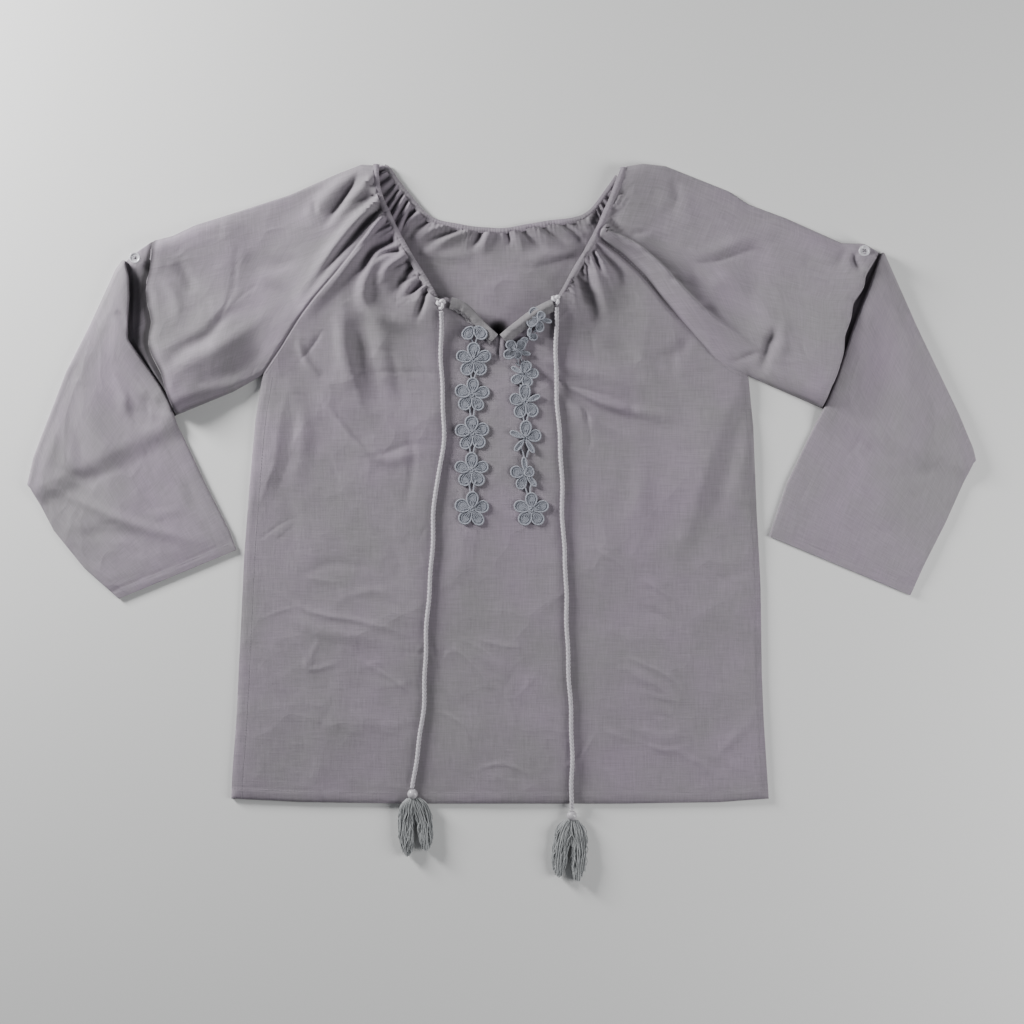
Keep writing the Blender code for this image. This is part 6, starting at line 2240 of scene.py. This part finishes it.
@dataclass
class SleeveButton:
    """A pearly shirt button: a rim, a dish, holes and the thread through them."""

    side: str
    pearl: bpy.types.Material
    thread: bpy.types.Material
    hole_radius: float = 0.75
    hole_reach: float = 1.55

    def turned(self, name: str, radius: float, depth: float, middle: Vector) -> bpy.types.Object:
        """Turn the button from a cylinder: inset its top, sink the dish and round the rim.

        Args:
            name: the piece's name.
            radius: the button's, in metres.
            depth: its thickness.
            middle: its centre.

        Returns:
            The button without its holes.
        """
        bpy.ops.object.select_all(action="DESELECT")
        bpy.ops.mesh.primitive_cylinder_add(vertices=48, radius=radius, depth=depth, location=middle)
        made = settled(name)
        bpy.ops.object.mode_set(mode="EDIT")
        bpy.ops.mesh.select_mode(type="FACE")
        bpy.ops.mesh.select_all(action="DESELECT")
        mesh = bmesh.from_edit_mesh(made.data)
        for face in mesh.faces:
            face.select = face.normal.z > 0.9
        bmesh.update_edit_mesh(made.data)
        bpy.ops.mesh.inset(thickness=0.26 * radius)
        bpy.ops.mesh.inset(thickness=0.10 * radius)
        bpy.ops.transform.translate(value=(0, 0, -0.32 * depth))
        bpy.ops.object.mode_set(mode="OBJECT")
        rounding = made.modifiers.new("rounding", "BEVEL")
        rounding.width = 0.10 * radius
        rounding.segments = 3
        rounding.limit_method = "ANGLE"
        bpy.context.view_layer.objects.active = made
        bpy.ops.object.modifier_apply(modifier=rounding.name)
        return made

    def drilled(self, made: bpy.types.Object, middle: Vector) -> None:
        """Cut the four holes.

        Args:
            made: the button.
            middle: its centre.
        """
        for turn in range(4):
            angle = math.radians(45 + 90 * turn)
            place = middle + Vector((math.cos(angle), math.sin(angle), 0)) * self.hole_reach * MM
            bpy.ops.object.select_all(action="DESELECT")
            bpy.ops.mesh.primitive_cylinder_add(vertices=16, radius=self.hole_radius * MM, depth=0.01,
                                                location=place)
            drill = bpy.context.object
            cut = made.modifiers.new("hole", "BOOLEAN")
            cut.operation = "DIFFERENCE"
            cut.solver = "EXACT"
            cut.object = drill
            bpy.context.view_layer.objects.active = made
            bpy.ops.object.modifier_apply(modifier=cut.name)
            bpy.data.objects.remove(drill)

    def build(self) -> list[bpy.types.Object]:
        """Make the button and its thread in the CAD button's place."""
        name = f"button_{self.side}"
        low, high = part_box(name)
        middle = (low + high) / 2
        made = self.turned(name, (high.x - low.x) / 2, high.z - low.z, middle)
        self.drilled(made, middle)
        dressed(made, self.pearl)
        made.data.set_sharp_from_angle(angle=math.radians(35))
        kept(made, Slot.PEARL, name)
        parts = MeshParts()
        centre = np.array(middle) / MM
        for angle in (45, 135):
            way = np.array([math.cos(math.radians(angle)), math.sin(math.radians(angle))])
            for shift in (-0.2, 0.2):
                side = np.array([-way[1], way[0]]) * shift
                reach = np.array([-1.6, -1.2, 0.0, 1.2, 1.6])
                places = centre[:2] + side + reach[:, None] * way
                z = centre[2] + np.array([-0.6, 0.75, 0.95, 0.75, -0.6])
                parts.add_tube(tube_rings(raised(places, z), 0.26, 6))
        thread = kept(parts.build(f"button_thread_{self.side}", self.thread), Slot.CORD)
        return [made, thread]


class Garment:
    """The whole top, piece by piece."""

    def __init__(self) -> None:
        """Mix the finishes."""
        self.cloth = WovenCloth().material()
        # Painted shade: the panels get the same cloth made darker, standing in for the dimmer light on
        # the body.
        self.body_cloth_painted_shade = WovenCloth("body_cloth_painted_shade", (0.234, 0.218, 0.234),
                                     (0.262, 0.223, 0.270)).material()
        self.facing_cloth = WovenCloth("facing_cloth", (0.215, 0.208, 0.214),
                                       (0.23, 0.215, 0.23)).material()
        self.lace = LaceThread().material()
        self.cotton = SpunCotton("cord_cotton", (0.55, 0.52, 0.56), (0.36, 0.34, 0.37)).material()
        self.yarn = SpunCotton("tassel_yarn", (0.46, 0.47, 0.475), (0.27, 0.28, 0.285)).material()
        self.knot_cotton = SpunCotton("knot_cotton", (0.74, 0.71, 0.75), (0.58, 0.55, 0.59)).material()
        self.thread = SpunCotton("sewing_thread", (0.30, 0.275, 0.305), (0.22, 0.20, 0.225)).material()
        self.bead = Pearl("bead_pearl", (0.37, 0.355, 0.37), (0.50, 0.48, 0.51), 0.4).material()
        self.pearl = Pearl("button_pearl", (0.46, 0.45, 0.49), (0.72, 0.70, 0.74)).material()

    def sleeve_rings(self, body: Body) -> dict[str, tuple[np.ndarray, np.ndarray]]:
        """The neck and raglan edges of both sleeves, front and back."""
        neck = body.neck(NECK_LEFT, 1)[::-1]
        neck = neck[neck[:, 1] > RAGLAN_LEFT[-1][1] + 4]
        front_left = joined([LEFT.top[0]], neck[1:], RAGLAN_LEFT[::-1])
        neck = body.neck(NECK_BACK, -1)
        around = neck[(neck[:, 0] < -98) & (neck[:, 0] > -124)]
        back_left = joined([LEFT.top[0]], around, BACK_RAGLAN_LEFT[::-1])
        front_neck = body.neck(NECK_RIGHT, -1)
        front_neck = front_neck[front_neck[:, 1] > RAGLAN_RIGHT[0][1] + 4][::-1]
        front_right = joined([RIGHT.top[0]], front_neck[1:], RAGLAN_RIGHT)
        back_right = joined([RIGHT.top[0]], neck[neck[:, 0] > 106][::-1], BACK_RAGLAN_RIGHT)
        return {"left": (front_left, back_left), "right": (front_right, back_right)}

    def cuff_line(self, sleeve: Sleeve) -> np.ndarray:
        """Points on the forearm's cloth along its hem stitches."""
        shape = sleeve.shape
        start, stop = np.array(shape.cuff_in), np.array(shape.cuff_out)
        way = (stop - start) / np.linalg.norm(stop - start)
        up = np.array([-way[1], way[0]])
        up = up if up[1] > 0 else -up
        places = at([tuple(start + way * 5 + up * 8.2), tuple(stop - way * 5 + up * 8.2)],
                    np.linspace(0, 1, 120))
        x, y = places[:, 0], places[:, 1]
        height = sleeve.forearm_middle(x, y) + 0.5 * LAYER_GAP + WALL + sleeve.forearm_puff(x, y)
        return raised(places, height)

    def build(self) -> None:
        body = Body(self.body_cloth_painted_shade)
        front, back = body.front(), body.back()
        rings = self.sleeve_rings(body)
        cuffs = {}
        for side, shape in (("left", LEFT), ("right", RIGHT)):
            sleeve = Sleeve(shape, self.cloth)
            sleeve.build(*rings[side])
            cuffs[side] = self.cuff_line(sleeve)
        gathers = ShoulderGathers(self.cloth).build()
        bindings = NeckBinding(self.cloth).build()
        facings = SlitFacings(self.facing_cloth, self.thread).build()
        stitches = Stitching(self.thread).build(cuffs)
        laces = [LaceTrim("lace_left", LACE_LEFT, self.lace).build(),
                 LaceTrim("lace_right", LACE_RIGHT, self.lace).build()]
        for side in ("left", "right"):
            button = SleeveButton(side, self.pearl, self.thread).build()
            gathered = gathers[0 if side == "left" else 1]
        for plan in (CORD_LEFT, CORD_RIGHT):
            Drawcord(plan, self.cotton, self.knot_cotton, self.yarn, self.bead).build()


class Studio:
    """The plain pale floor, the soft light and the camera straight above."""

    def floor(self) -> None:
        """A pale floor just under the cloth."""
        bpy.ops.object.select_all(action="DESELECT")
        bpy.ops.mesh.primitive_plane_add(size=6.0, location=(0, 0, -0.0004))
        made = bpy.context.object
        made.name = "floor"
        shader = Shader("pale_floor", (0.78, 0.78, 0.77), 0.9)
        made.data.materials.append(shader.material)

    def lamp(self, name: str, place: Vector, size: float, power: float) -> None:
        """Add a soft square light that faces the top's middle.

        Args:
            name: the light's name.
            place: where it stands, in metres.
            size: its side.
            power: its power in watts.
        """
        light = bpy.data.lights.new(name, "AREA")
        light.size = size
        light.energy = power
        made = bpy.data.objects.new(name, light)
        made.location = place
        made.rotation_euler = (-place).to_track_quat("-Z", "Y").to_euler()
        bpy.context.scene.collection.objects.link(made)

    def camera(self) -> None:
        """The camera, straight above, with the top framed as it was seen."""
        lens, sensor, shown = 50.0, 36.0, 1.065
        view = bpy.data.cameras.new("camera")
        view.lens = lens
        view.sensor_width = sensor
        made = bpy.data.objects.new("camera", view)
        made.location = (0.0109, -0.0302, shown * lens / sensor + 0.004)
        bpy.context.scene.collection.objects.link(made)
        bpy.context.scene.camera = made

    def build(self) -> None:
        """Set the scene up."""
        self.camera()
        self.floor()
        self.lamp("key", Vector((-1.35, 0.85, 0.52)), size=0.45, power=56.0)
        self.lamp("fill", Vector((1.3, -0.25, 0.8)), size=0.8, power=18.0)
        world = bpy.data.worlds.new("studio")
        world.use_nodes = True
        world.node_tree.nodes["Background"].inputs["Color"].default_value = (0.92, 0.95, 1.0, 1.0)
        world.node_tree.nodes["Background"].inputs["Strength"].default_value = 0.145
        bpy.context.scene.world = world


def main() -> None:
    """Build the studio and the garment."""
    logging.basicConfig(level=logging.INFO, format="%(name)s: %(message)s")
    Studio().build()
    Garment().build()


if __name__ == "__main__":
    main()
